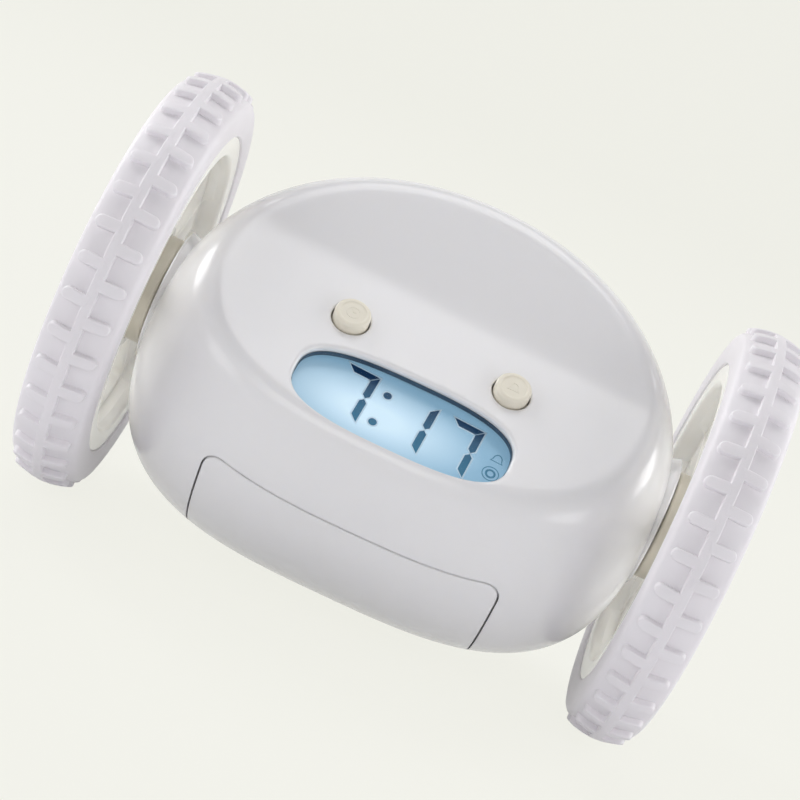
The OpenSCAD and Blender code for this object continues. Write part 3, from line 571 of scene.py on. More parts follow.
def make_rear_shell():
    shell = combined(shell_half(-1), collars(-1), "UNION")
    shell = combined(shell, screw_posts(-1), "UNION")
    cuts = [moved(slabbed(snooze_outline, HOLES_FROM, FAR, BUTTON_GAP), rear, at(0, SNOOZE_V, 0))]
    for x in (-SET_X, SET_X):
        hole = slabbed(circle(SET_R + BUTTON_GAP, 64), HOLES_FROM, FAR)
        cuts.append(moved(hole, rear, at(x, SET_V, 0)))
    for i in range(-3, 4):
        width = 2 * math.sqrt((SPEAKER_R - SLOT_EDGE) ** 2 - (i * SLOT_PITCH) ** 2)
        sound_slot = slabbed(rounded_bar(width, SLOT_H, SLOT_H / 2 - 0.01), SPEAKER_FRONT, FAR)
        cuts.append(moved(sound_slot, facing(SPEAKER_TILT), at(0, i * SLOT_PITCH, 0)))
    shell = combined(shell, joined(*cuts, axle_rod(BORE_R)), "DIFFERENCE")
    shell = drilled(shell, SCREW_HOLE_R + SCREW_SLACK, -FAR, 1)
    shell = drilled(shell, HEAD_R + HEAD_SLACK, -FAR, SCREW_SEAT)
    piece("rear_casing", shell, "clock_body", white_abs, ["rear_shell"])


make_rear_shell()

# ---- Battery door ----
# A curved cover of the same ABS that clips flush into the front shell under the face.
# Its outer face is plain and follows the body's skin.


def make_battery_door():
    within = moved(slabbed(door_outline, WELL_FLOOR, FAR), door_plane)
    door = combined(body_skin(0), within, "INTERSECT")
    door = combined(door, body_skin(DOOR_T, SKIN_PLAIN), "DIFFERENCE")
    piece("battery_cover", door, "door", white_abs, ["battery_door"])


make_battery_door()

# ---- Display ----
# A liquid crystal glass lit blue from behind, under a clear acrylic lens that sits a
# little below the plate. It shows 7:17 in plain seven-segment figures.
LENS_SINK = 0.9
LENS_GAP = 0.1
LENS_FLANGE = 0.8
LENS_FLANGE_T = 0.8
FLAT_MARGIN = 0.3                 # a flat end's border, which keeps its shading flat
LCD_FRONT = 21.15
LCD_T = 2
LCD_BEVEL = 0.15
LCD_W = MOUTH_W + 1.2             # reaches a little past the window's ends
LCD_H = MOUTH_H + 0.4
LCD_V = 1.8 - MOUTH_DROP
LIP_SHADE_GLOW_SHIFT = (-5, -2.5)           # the glow's palest spot, left of and below the middle: painted shade of the lip at the top


def plain_ink(name, dark, light, spot_mm, rough=0.35):
    """A thin even layer of ink or liquid crystal, with the faintest clouds."""
    made, tree = new_material(name)
    place = add(tree, "TexCoord")
    clouds = add(tree, "TexNoise", {"Scale": 1 / (spot_mm * MM)}, {"Vector": (place, "Object")})
    tone = add(tree, "Mix", {"data_type": "RGBA", 6: colour(dark), 7: colour(light)}, {0: (clouds, 0)})
    shader = add(tree, "BsdfPrincipled", {"Roughness": rough}, {"Base Color": (tone, 2)})
    add(tree, "OutputMaterial", {}, {"Surface": (shader, 0)})
    return made


def make_lens():
    # Clear acrylic, polished: the glass behind shows through it as it is, and its front keeps
    # a thin sharp reflection. It passes light straight, because it is a flat thin sheet.
    acrylic, tree = new_material("clear_acrylic")
    place = add(tree, "TexCoord")
    haze = add(tree, "TexNoise", {"Scale": 1 / (0.8 * MM)}, {"Vector": (place, "Object")})
    shine = add(tree, "MapRange", {"To Min": 0.03, "To Max": 0.06}, {"Value": (haze, 0)})
    gloss = add(tree, "BsdfPrincipled", {"Base Color": colour("#10161c"), "IOR": 1.49},
                {"Roughness": (shine, 0)})
    passing = add(tree, "BsdfTransparent", {"Color": colour("#f6fbfe")})
    mirrored = add(tree, "Fresnel", {"IOR": 1.2})
    face = add(tree, "NewGeometry")
    outer = add(tree, "Math", {"operation": "SUBTRACT", 0: 1}, {1: (face, "Backfacing")})
    share = add(tree, "Math", {"operation": "MULTIPLY"}, {0: (mirrored, 0), 1: (outer, 0)})
    both = add(tree, "MixShader", {}, {0: (share, 0), 1: (passing, 0), 2: (gloss, 0)})
    add(tree, "OutputMaterial", {}, {"Surface": (both, 0)})

    # Painted shade: a satin navy on the window's side faces, standing in for the shaded wall of the recess,
    # which frames the glass with a dark line.
    printed = plain_ink("navy_painted_recess_shade", "#3c4c5c", "#46586a", 0.3, 0.5)
    lens_back = PLATE_DIST - SHELL_WALL - LENS_FLANGE_T
    flange_front = lens_back + LENS_FLANGE_T
    steps = [(lens_back, LENS_FLANGE), (flange_front, LENS_FLANGE), (flange_front, -LENS_GAP)]
    steps += [(h, g - LENS_GAP) for h, g in rounding(PLATE_DIST - LENS_SINK, 0.25, -1)]
    lens = moved(loft(mouth, steps, FLAT_MARGIN), plate, at(0, -MOUTH_DROP, 0))
    window = piece("clear_window", lens, "clock_body", acrylic, ["display_lens"])
    window.data.materials.append(printed)
    # The side faces take the navy: painted shade of the recess over the glass.
    outward = plate.to_3x3() @ Vector((0, 0, 1))
    for face in window.data.polygons:
        if abs(face.normal.dot(outward)) < 0.5:
            face.material_index = 1


def make_glass():
    # Polarising film on glass, lit from behind: a soft blue glow that is palest near the middle and
    # deepens towards the ends. Its palest spot is set low and a little left, so that the top is
    # darker: painted shade of the lip over the window.
    glass, tree = new_material("backlit_blue_glass")
    place = add(tree, "TexCoord")
    glow_place = plate @ at(LIP_SHADE_GLOW_SHIFT[0], LCD_V + LIP_SHADE_GLOW_SHIFT[1], LCD_FRONT)
    turn = (Matrix.Scale(MM, 4) @ glow_place).inverted().to_euler()
    centre = glow_place.translation * MM
    shifted = add(tree, "VectorMath", {"operation": "SUBTRACT", 1: centre},
                  {0: (place, "Object")})
    local = add(tree, "Mapping", {"Rotation": turn}, {"Vector": (shifted, 0)})
    flat = add(tree, "VectorMath",
               {"operation": "MULTIPLY", 1: (2 / (LCD_W * MM), 2 / (LCD_H * MM), 0)}, {0: (local, 0)})
    spread = add(tree, "VectorMath", {"operation": "LENGTH"}, {0: (flat, 0)})
    glow = add(tree, "ValToRGB", {}, {"Fac": (spread, "Value")})
    for stop, (spot, code) in zip(glow.color_ramp.elements, ((0.25, "#d2dde3"), (1.3, "#8eadbf"))):
        stop.position = spot
        stop.color = colour(code)
    shader = add(tree, "BsdfPrincipled",
                 {"Roughness": 0.25, "IOR": 1.52, "Emission Strength": 0.5},
                 {"Base Color": (glow, 0), "Emission Color": (glow, 0)})
    add(tree, "OutputMaterial", {}, {"Surface": (shader, 0)})
    steps = [(0, 0), (LCD_T - LCD_BEVEL, 0), (LCD_T, -LCD_BEVEL)]
    panel = moved(loft(rounded_bar(LCD_W, LCD_H, 0.4), steps), plate, at(0, LCD_V, LCD_FRONT - LCD_T))
    piece("blue_glass", panel, "clock_body", glass, ["lcd_panel"])


def finished(material, *names):
    """Gives pieces that keep their own shape a material."""
    for name in names:
        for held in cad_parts[name].material_slots:
            held.link = "OBJECT"
            held.material = material


make_lens()
make_glass()

# Acrylic with a blasted surface, which spreads the backlight: pale, matt and fine-grained.
frosted_acrylic = moulded_plastic("frosted_white_acrylic", "#eef3f7", 0.5, grain_mm=0.2,
                                  grain_height=0.02)
finished(frosted_acrylic, "lcd_backlight")

# The dark figures lie on the glass. Each stroke has a pale edge, and fades from navy at the top
# to teal at the bottom: painted shade of the window's lip.
FIGURE_H = 11.7
FIGURE_W = 6.25
STROKE = 1.35
STROKE_GAP = 0.3
FIGURE_TOP = 6.2                  # over the middle of the row
FIGURES_X = ((-9.97, "7"), (2.12, "1"), (11.25, "7"))
COLON_R = 0.78
COLON_X = -4.2
COLON_V = (3.4, -3.5)
MARK_X = 18.55
BELL_V = 2.1
RING_V = -1.6
ROW_V = -21
ROW_TURN = math.radians(-3.3)     # the row of figures sits a little askew in the window
INK_T = 0.02                      # thick enough to hide the pale edges under the figures
HALO = 0.3


def slab(points, low, thick):
    """A flat solid through points, from a height up."""
    solid = bmesh.new()
    face = solid.faces.new([solid.verts.new((x, y, low)) for x, y in points])
    lid = bmesh.ops.extrude_face_region(solid, geom=[face])["geom"]
    bmesh.ops.translate(solid, verts=[g for g in lid if isinstance(g, bmesh.types.BMVert)],
                        vec=(0, 0, thick))
    bmesh.ops.recalc_face_normals(solid, faces=solid.faces)
    return solid


def strokes(figure, grow):
    """The lit strokes of one figure in its own box, as outlines: top bar and two right bars. A
    grown stroke's slanted ends move out by wide, and its mitres by near."""
    w, h, t, g = FIGURE_W, FIGURE_H, STROKE, STROKE_GAP / 2
    wide, near = grow * 1.6, grow * 0.4
    half = h / 2
    bars = {
        "top": [(g - wide, h + grow), (w - g + wide, h + grow),
                (w - t - g + near, h - t - grow), (t + g - near, h - t - grow)],
        "high": [(w + grow, h - g + wide), (w + grow, half + t / 2 + g - near),
                 (w - t / 2, half + g - grow), (w - t - grow, half + t / 2 + g - near),
                 (w - t - grow, h - t - g + near)],
        "low": [(w + grow, half - t / 2 - g + near), (w - t / 2, half - g + grow),
                (w - t - grow, half - t / 2 - g + near), (w - t - grow, t + g - near),
                (w + grow, g - wide)],
    }
    lit = ("high", "low") if figure == "1" else ("top", "high", "low")
    return [bars[name] for name in lit]


def figure_set(grow, low):
    """The three figures and the colon, in the row's frame."""
    solids = []
    for middle, figure in FIGURES_X:
        for outline in strokes(figure, grow):
            points = [(middle - FIGURE_W / 2 + x, FIGURE_TOP - FIGURE_H + y) for x, y in outline]
            solids.append(slab(points, low, INK_T))
    for v in COLON_V:
        dot = slabbed(circle(COLON_R + grow, 32), low, low + INK_T)
        solids.append(moved(dot, at(COLON_X, v, 0)))
    return joined(*solids)


def drawn(points, share=1):
    """An outline through points, at a share of its size. It isn't grown."""
    return lambda grow: [(x * share, y * share) for x, y in points]


def raised_line(outer, inner, thick):
    """A closed line that stands on a face, between two outlines."""
    return combined(slabbed(outer, 0, thick), slabbed(inner, -1, 1), "DIFFERENCE")


def make_figures():
    # Liquid crystal where it is switched on: smooth and dark, navy at the top and teal lower down;
    # the navy is painted shade of the window's lip.
    ink, tree = new_material("liquid_crystal_ink")
    place = add(tree, "TexCoord")
    parts = add(tree, "SeparateXYZ", {}, {"Vector": (place, "Object")})
    high = (plate @ Vector((0, ROW_V + FIGURE_TOP, LCD_FRONT))).z * MM
    low = (plate @ Vector((0, ROW_V + FIGURE_TOP - FIGURE_H, LCD_FRONT))).z * MM
    # Darker towards the top of the figures: painted shade of the window's lip.
    share = add(tree, "MapRange", {"From Min": low, "From Max": high}, {"Value": (parts, "Z")})
    lip_shade_fade = add(tree, "ValToRGB", {}, {"Fac": (share, 0)})
    lip_shade_fade.color_ramp.elements[0].color = colour("#3a829f")
    lip_shade_fade.color_ramp.elements[1].color = colour("#103a63")
    shader = add(tree, "BsdfPrincipled", {"Roughness": 0.35}, {"Base Color": (lip_shade_fade, 0)})
    add(tree, "OutputMaterial", {}, {"Surface": (shader, 0)})

    # The marks at the right are only half switched on, a paler teal. The edge of each stroke
    # is where the backlight comes round it, nearly white.
    faint = plain_ink("faint_crystal_ink", "#4f8fae", "#5b9ab6", 1)
    edge = plain_ink("liquid_crystal_halo", "#e6f1f9", "#eff7fc", 2)

    row = plate @ at(0, ROW_V, LCD_FRONT) @ turned(ROW_TURN, "Z")
    piece("time_figures", moved(figure_set(0, INK_T), row), "clock_body", ink)
    piece("figure_edges", moved(figure_set(HALO, 0), row), "clock_body", edge)

    rings = joined(*(raised_line(circle(outer, 48), circle(inner, 48), INK_T)
                     for outer, inner in ((1.62, 1.44), (1.0, 0.6))))
    bell = [(-1.25, -0.8), (1.25, -0.8), (0.95, -0.3), (0.8, 0.5), (0.4, 0.95), (0, 1.1),
            (-0.4, 0.95), (-0.8, 0.5), (-0.95, -0.3)]
    bell = raised_line(drawn(bell), drawn(bell, 0.8), INK_T)
    marks = joined(moved(rings, at(MARK_X, RING_V, 0)), moved(bell, at(MARK_X, BELL_V, 0)))
    piece("glass_marks", moved(marks, row), "clock_body", faint)


make_figures()

# ---- Front buttons ----
# Two round ivory ABS keys, dish-topped with a fine raised rim and a plain mark on each. A
# flange behind the shell keeps each in its hole, and a stem reaches back to its switch.
BUTTON_PROUD = 1.9
BUTTON_TOP = PLATE_DIST + BUTTON_PROUD
BUTTON_FLANGE = 0.7
BUTTON_FLANGE_T = 0.8
STEM_R = 1.5
STEM_END = 20.65
LINE_H = 0.1                      # of the raised marks
MARK_SINK = 0.2                   # of their foot under the rim's top

# ABS in a warm ivory tone, satin next to the polished casing.
ivory_abs = moulded_plastic("ivory_abs", "#ece6d6", 0.34, wave_mm=5, through=0.1)


def make_front_buttons():
    high = PLATE_DIST - SHELL_WALL - 0.1
    low = high - BUTTON_FLANGE_T
    for name, x in (("left_front_button", -EYE_X), ("right_front_button", EYE_X)):
        steps = [(STEM_END, STEM_R - EYE_R), (low, STEM_R - EYE_R), (low, BUTTON_FLANGE),
                 (high, BUTTON_FLANGE), (high, 0)]
        steps += rounding(BUTTON_TOP, 0.6, -1, 6)
        steps += [(BUTTON_TOP - 0.02, -0.85), (BUTTON_TOP - 0.14, -1.0), (BUTTON_TOP - 0.16, -1.15)]
        key = moved(loft(circle(EYE_R), steps, FLAT_MARGIN), plate, at(x, -EYE_DROP, 0))
        piece(name + "_cap", key, name + "_body", ivory_abs, [name])


def make_button_marks():
    """Faint raised outlines on the keys: a clock face with two hands, and a bell."""
    ring = raised_line(circle(1.35, 48), circle(1.15, 48), LINE_H)
    hands = [moved(slabbed(rounded_bar(0.2, length, 0.09), 0, LINE_H), turned(turn, "Z"),
                   at(0, length / 2, 0))
             for length, turn in ((0.8, 0.5), (0.6, -1.2))]
    bell = [(-1.2, -0.9), (1.2, -0.9), (0.9, -0.35), (0.8, 0.45), (0.4, 0.95), (-0.4, 0.95),
            (-0.8, 0.45), (-0.9, -0.35)]
    bell = raised_line(drawn(bell), drawn(bell, 0.8), LINE_H)
    for name, x, mark in (("left", -EYE_X, joined(ring, *hands)), ("right", EYE_X, bell)):
        moved(mark, plate, at(x, -EYE_DROP, BUTTON_TOP - MARK_SINK))
        piece(name + "_button_mark", mark, name + "_front_button_body", ivory_abs)


make_front_buttons()
make_button_marks()

# ---- Rear buttons ----
# One long snooze key and two small keys that set the hour and the minute. They are moulded
# from the same ivory ABS, each with a flange behind the shell and a stem to its switch.
KEY_FLANGE = 1.1
KEY_FLANGE_BACK = 34.4
KEY_FLANGE_FRONT = 35.2


def make_rear_buttons():
    flange = [(KEY_FLANGE_BACK, KEY_FLANGE), (KEY_FLANGE_FRONT, KEY_FLANGE), (KEY_FLANGE_FRONT, 0)]
    steps = flange + rounding(SNOOZE_DIST, 1.0, -1, 6)
    stem = slabbed(circle(STEM_R, 32), 34.1, 35)
    key = combined(loft(snooze_outline, steps, FLAT_MARGIN), stem, "UNION")
    moved(key, rear, at(0, SNOOZE_V, 0))
    key = combined(key, axle_rod(SNOOZE_DIST, 240), "INTERSECT")
    piece("snooze_key", key, "snooze_button_body", ivory_abs, ["snooze_button"])
    for name, x in (("hour_button", -SET_X), ("minute_button", SET_X)):
        steps = [(33.7, STEM_R - SET_R), (KEY_FLANGE_BACK, STEM_R - SET_R)] + flange
        steps += rounding(SET_DIST, 0.5, -1)
        key = moved(loft(circle(SET_R, 64), steps, FLAT_MARGIN), rear, at(x, SET_V, 0))
        piece(name + "_cap", key, name + "_body", ivory_abs, [name])


make_rear_buttons()

# ---- Circuit boards ----
# Two green glass fibre boards with copper tracks under the solder mask, held by small plated
# screws. The key switches, the chip under its black drop and the capacitor sit on them.


def solder_masked_board():
    """Glass fibre laminate under glossy green solder mask: copper tracks stand out a little
    lighter and raised, and the weave shows as a fine diagonal grain."""
    made, tree = new_material("green_glass_fibre_board")
    place = add(tree, "TexCoord")
    weave = add(tree, "TexWave", {"Scale": 1 / (0.5 * MM) / 20, "bands_direction": "DIAGONAL"},
                {"Vector": (place, "Object")})
    tracks = add(tree, "TexVoronoi", {"Scale": 1 / (4 * MM), "feature": "DISTANCE_TO_EDGE"},
                 {"Vector": (place, "Object")})
    copper = add(tree, "Math", {"operation": "LESS_THAN", 1: 0.12}, {0: (tracks, "Distance")})
    tone = add(tree, "Mix", {"data_type": "RGBA", 6: colour("#1f5c3a"), 7: colour("#3d8a55")},
               {0: (copper, 0)})
    bump = add(tree, "Bump", {"Strength": 0.4, "Distance": 0.03 * MM}, {"Height": (weave, 1)})
    raised = add(tree, "Bump", {"Strength": 0.6, "Distance": 0.035 * MM},
                 {"Height": (copper, 0), "Normal": (bump, 0)})
    shader = add(tree, "BsdfPrincipled", {"Roughness": 0.35, "Coat Weight": 0.3},
                 {"Base Color": (tone, 2), "Normal": (raised, 0)})
    add(tree, "OutputMaterial", {}, {"Surface": (shader, 0)})
    return made


def plated_metal(name, dark, light, rough, patch_mm):
    """A thin plating over metal: bright, with cloudy patches and fine scratches."""
    made, tree = new_material(name)
    place = add(tree, "TexCoord")
    patches = add(tree, "TexNoise", {"Scale": 1 / (patch_mm * MM), "Detail": 4},
                  {"Vector": (place, "Object")})
    tone = add(tree, "Mix", {"data_type": "RGBA", 6: colour(dark), 7: colour(light)}, {0: (patches, 0)})
    shine = add(tree, "MapRange", {"To Min": rough * 0.75, "To Max": rough * 1.3},
                {"Value": (patches, 0)})
    scratches = add(tree, "TexNoise", {"Scale": 1 / (0.15 * MM), "Detail": 3},
                    {"Vector": (place, "Object")})
    bump = add(tree, "Bump", {"Strength": 0.3, "Distance": 0.008 * MM},
               {"Height": (scratches, 0)})
    shader = add(tree, "BsdfPrincipled", {"Metallic": 1},
                 {"Base Color": (tone, 2), "Roughness": (shine, 0), "Normal": (bump, 0)})
    add(tree, "OutputMaterial", {}, {"Surface": (shader, 0)})
    return made


# Black phenolic resin is dull and nearly even. Barrel nickel plating is bright and a little
# warm, with soft clouds.
black_moulding = moulded_plastic("black_phenolic_moulding", "#161618", 0.45, wave_mm=4)
nickel_plate = plated_metal("nickel_plated_steel", "#b4b3ae", "#d2d1cb", 0.22, 1.5)
finished(solder_masked_board(), "main_board", "rear_board")
finished(black_moulding, "board_chip", "front_switches", "rear_switches")
finished(nickel_plate, "board_screws")

# ---- Loudspeaker ----
# A small dynamic loudspeaker behind the slots: a pressed basket and magnet, glued in under a
# black moulded ring. Its zinc plating is a darker, duller grey than the nickel.
finished(plated_metal("zinc_plated_basket", "#6d6d6c", "#8b8b88", 0.38, 3), "loudspeaker")
finished(black_moulding, "speaker_ring")

# ---- Batteries ----
# A matt white tray behind the door holds four small cells, two and two. Each cell is a
# nickel plated can in a plain printed sleeve, and stands between a pressed contact and a
# spring wound from plated wire.
CELL_R = 5.2
CELL_HALF = 22.25
CELL_PITCH = 10.7
CAN_R = CELL_R - 0.05
CAN_STEP = 0.25                   # how far the middle of the minus end stands out
CAP_STEP = 1                      # height of the plus end's button
CAP_BUTTON_R = 1.9
BAND_FROM = 12
FILM_T = 0.1
PACK_DIST = 23.6
WELL_END = 24.85
CELLS = (("battery_1", -1, -1, 1), ("battery_2", 1, -1, -1), ("battery_3", -1, 1, 1), ("battery_4", 1, 1, -1))
ALONG_AXLE = Matrix(((0, 0, 1, 0), (1, 0, 0, 0), (0, 1, 0, 0), (0, 0, 0, 1)))    # lays Z on X


def printed_sleeve(name, code, fleck):
    """Shrunk film printed in one plain metallic colour: fine flakes under a clear gloss."""
    made, tree = new_material(name)
    place = add(tree, "TexCoord")
    flakes = add(tree, "TexNoise", {"Scale": 1 / (0.2 * MM), "Detail": 2}, {"Vector": (place, "Object")})
    tone = add(tree, "Mix", {"data_type": "RGBA", 6: colour(code), 7: colour(fleck)}, {0: (flakes, 0)})
    shader = add(tree, "BsdfPrincipled",
                 {"Metallic": 0.35, "Roughness": 0.3, "Coat Weight": 0.6, "Coat Roughness": 0.12},
                 {"Base Color": (tone, 2)})
    add(tree, "OutputMaterial", {}, {"Surface": (shader, 0)})
    return made


def filleted(points, count=5):
    """An open profile with its corners rounded: each point is (along, radius, corner radius)."""
    result = [points[0][:2]]
    for before, (a, r, corner), after in zip(points, points[1:], points[2:]):
        here = Vector((a, r))
        come = (Vector(before[:2]) - here).normalized()
        go = (Vector(after[:2]) - here).normalized()
        turn = math.pi - come.angle(go)
        reach = corner * math.tan(turn / 2)
        if reach < 1e-6:
            result.append((a, r))
            continue
        start, end = here + come * reach, here + go * reach
        for i in range(count + 1):
            s = i / count
            result.append(tuple((1 - s) ** 2 * start + 2 * s * (1 - s) * here + s ** 2 * end))
    return result + [points[-1][:2]]


def spun(profile, steps=192, closed=False):
    """A solid turned round the axle from points of (along the axle, radius)."""
    solid = bmesh.new()
    verts = [solid.verts.new((along, 0, radius)) for along, radius in profile]
    pairs = list(zip(verts, verts[1:])) + ([(verts[-1], verts[0])] if closed else [])
    edges = [solid.edges.new(pair) for pair in pairs]
    bmesh.ops.spin(solid, geom=verts + edges, cent=(0, 0, 0), axis=(1, 0, 0),
                   angle=2 * math.pi, steps=steps, use_merge=True)
    bmesh.ops.remove_doubles(solid, verts=solid.verts, dist=1e-4)
    bmesh.ops.recalc_face_normals(solid, faces=solid.faces)
    return solid


def cell_place(v, z, way):
    """The frame of a cell, or of a contact: X along it, towards its plus end."""
    turn = turned(0 if way > 0 else math.pi, "Z")
    return door_plane @ at(0, v * CELL_PITCH / 2, PACK_DIST + z * CELL_PITCH / 2) @ turn


def make_batteries():
    # Two plain printed films, a grey one with a blue cast and a nearly black band.
    blue_grey = printed_sleeve("blue_grey_printed_film", "#5d6f7a", "#66798a")
    black = printed_sleeve("black_printed_film", "#1c1e20", "#26292c")
    minus, plus = -CELL_HALF + CAN_STEP, CELL_HALF - CAP_STEP
    for name, v, z, way in CELLS:
        can = spun(filleted([(-CELL_HALF, 0, 0), (-CELL_HALF, 3.6, 0.2), (minus, 3.9, 0.2),
                             (minus, CAN_R, 0.4), (plus, CAN_R, 0.5), (plus, CAP_BUTTON_R, 0.2),
                             (CELL_HALF, CAP_BUTTON_R, 0.3), (CELL_HALF, 0, 0)]), 64)
        place = cell_place(v, z, way)
        piece(name + "_can", moved(can, place), "clock_body", nickel_plate, [name])
        for part, film, start, end in (("sleeve", blue_grey, -CELL_HALF + 0.7, BAND_FROM),
                                       ("band", black, BAND_FROM, CELL_HALF - 1.4)):
            ring = spun([(start, CELL_R - FILM_T), (start, CELL_R - 0.02), (start + FILM_T, CELL_R),
                         (end - FILM_T, CELL_R), (end, CELL_R - 0.02), (end, CELL_R - FILM_T)],
                        64, closed=True)
            piece(name + "_" + part, moved(ring, place), "clock_body", film)


SPRING_TURNS = 3
SPRING_STEPS = 24                 # to a turn
SPRING_WIRE_R = 0.28
SPRING_TIP_R = 1.6                # at the cell
SPRING_WIDENS = 1.3               # by its plate
CONTACT_W = 7.2
CONTACT_T = 0.4
DIMPLE_R = 2.9


def wound_spring():
    """A conical spring, wide at its plate and narrow at the cell."""
    wire = bmesh.new()
    bmesh.ops.create_circle(wire, segments=8, radius=SPRING_WIRE_R, cap_ends=True,
                            matrix=at(0, 0, 1) @ turned(QUARTER, "X"))
    length = WELL_END - 0.8 - CELL_HALF - 0.35
    steps = SPRING_TURNS * SPRING_STEPS
    bmesh.ops.spin(wire, geom=wire.verts[:] + wire.edges[:] + wire.faces[:], cent=(0, 0, 0),
                   axis=(1, 0, 0), dvec=(length / steps, 0, 0), angle=2 * math.pi * SPRING_TURNS,
                   steps=steps)
    for vert in wire.verts:
        reach = math.hypot(vert.co.y, vert.co.z)
        coil = SPRING_TIP_R + SPRING_WIDENS * min(max(vert.co.x / length, 0), 1)
        scale = (coil - 1 + reach) / reach
        vert.co.y, vert.co.z = vert.co.y * scale, vert.co.z * scale
    bmesh.ops.recalc_face_normals(wire, faces=wire.faces)
    return moved(wire, at(CELL_HALF + 0.4, 0, 0))


def make_contacts():
    pad_back = WELL_END - CONTACT_T
    parts = []
    for name, v, z, way in CELLS:
        for end in (-1, 1):
            pad = moved(loft(rounded_bar(CONTACT_W, CONTACT_W, 0.8, 4),
                             [(WELL_END - 0.5, -0.1), (pad_back, 0), (WELL_END, 0)]), ALONG_AXLE)
            if end > 0:
                dimple = [(pad_back, 0, 0), (pad_back, DIMPLE_R, 0.1), (WELL_END - 0.6, 2.8, 0.3),
                          (CELL_HALF + 0.15, 1.3, 0.6), (CELL_HALF + 0.12, 0, 0)]
                inner = spun(filleted(dimple), 32)
            else:
                inner = wound_spring()
            parts.append(moved(joined(pad, inner), cell_place(v, z, way * end)))
    piece("pressed_contacts", joined(*parts), "clock_body", nickel_plate,
          ["battery_contacts"])


TRAY_WALL = 1.6
TRAY_TOP = 32.4

# ABS from a spark-eroded mould: off-white and matt, with a fine even grain.
tray_abs = moulded_plastic("matt_white_abs", "#e9e8e2", 0.55, grain_mm=0.3, grain_height=0.02)


def make_tray():
    """The tray that the cells lie in: an open box with soft inner corners."""
    half_v = CELL_PITCH / 2 + CELL_R + 0.3
    foot = WELL_FLOOR - TRAY_WALL
    box = loft(rounded_bar(2 * (WELL_END + TRAY_WALL), 2 * (half_v + TRAY_WALL), 1.2, 4),
               [(foot, -0.5), (foot + 0.5, 0), (TRAY_TOP - 0.2, 0), (TRAY_TOP, -0.2)])
    room = loft(rounded_bar(2 * WELL_END, 2 * half_v, 0.6, 4),
                [(WELL_FLOOR, 0), (TRAY_TOP - 0.2, 0), (TRAY_TOP + 0.8, 1)])
    tray = moved(combined(box, room, "DIFFERENCE"), door_plane)
    piece("cell_tray", tray, "clock_body", tray_abs, ["battery_tray"])


make_batteries()
make_contacts()
make_tray()

# ---- Wheels ----
# Glossy white ABS wheels with a broad round shoulder inside and five spokes. The boss is tinted
# ivory as painted shade of the hollow round it. A groove round the rim takes the key of the tyre.
WHEEL_X = 57.6
TYRE_SEAT_R = 33
RIM_HALF = 6.2
KEY_HALF = 2
KEY_H = 1.2
HUB_R = 10.8
HUB_X = 51.9
WEB_IN = 55.4
WEB_OUT = 59.4
HUB_OUT = 61.4
AXLE_R = 1.75
WINDOW_IN_R = 13
WINDOW_OUT_R = 28
WINDOW_CORNER = 1.6
SPOKES = 5
SPOKE_W = 7
SPOKE_TURN = math.radians(26)
RIM_LIP = 0.9                     # from the windows out to the rim's edge
WINDOW_LIP = 0.5


def on_side(solid, side):
    """Puts a piece drawn for the right end of the axle at its place, mirrored for the left."""
    if side < 0:
        moved(solid, Matrix.Scale(-1, 4, (1, 0, 0)))
        bmesh.ops.reverse_faces(solid, faces=solid.faces)
    return moved(solid, at(0, 0, WHEEL_R))


def window_outline(grow):
    """A gap between two spokes, its flanks parallel to them and its corners round. The first
    spoke lies along X."""
    flank, corner = SPOKE_W / 2 - grow, WINDOW_CORNER + grow
    far_out, near_in = WINDOW_OUT_R + grow - corner, WINDOW_IN_R - grow + corner
    out_turn, in_turn = math.asin((flank + corner) / far_out), math.asin((flank + corner) / near_in)
    middle = math.pi / SPOKES
    rounds = [(near_in, in_turn, in_turn + math.pi, 1.5 * math.pi),
              (far_out, out_turn, -QUARTER, out_turn)]
    half = [((near_in - corner) * math.cos(middle), (near_in - corner) * math.sin(middle))]
    for reach, turn, first, last in rounds:
        for i in range(7):
            t = first + (last - first) * i / 6
            half.append((reach * math.cos(turn) + corner * math.cos(t),
                         reach * math.sin(turn) + corner * math.sin(t)))
    half += [((far_out + corner) * math.cos(t), (far_out + corner) * math.sin(t))
             for t in (out_turn + (middle - out_turn) * i / 8 for i in range(1, 9))]
    cos, sin = math.cos(2 * middle), math.sin(2 * middle)
    return half + [(x * cos + y * sin, x * sin - y * cos) for x, y in reversed(half[1:-1])]


# The same ABS as the casing, with the same polish, in a brighter, warmer white: painted light, for the strong
# light on the wheels' inner faces and the warm light bounced inside them.
wheel_abs_painted_bright = moulded_plastic("white_abs_painted_bright", "#f9f7f0", 0.22, through=0.2)


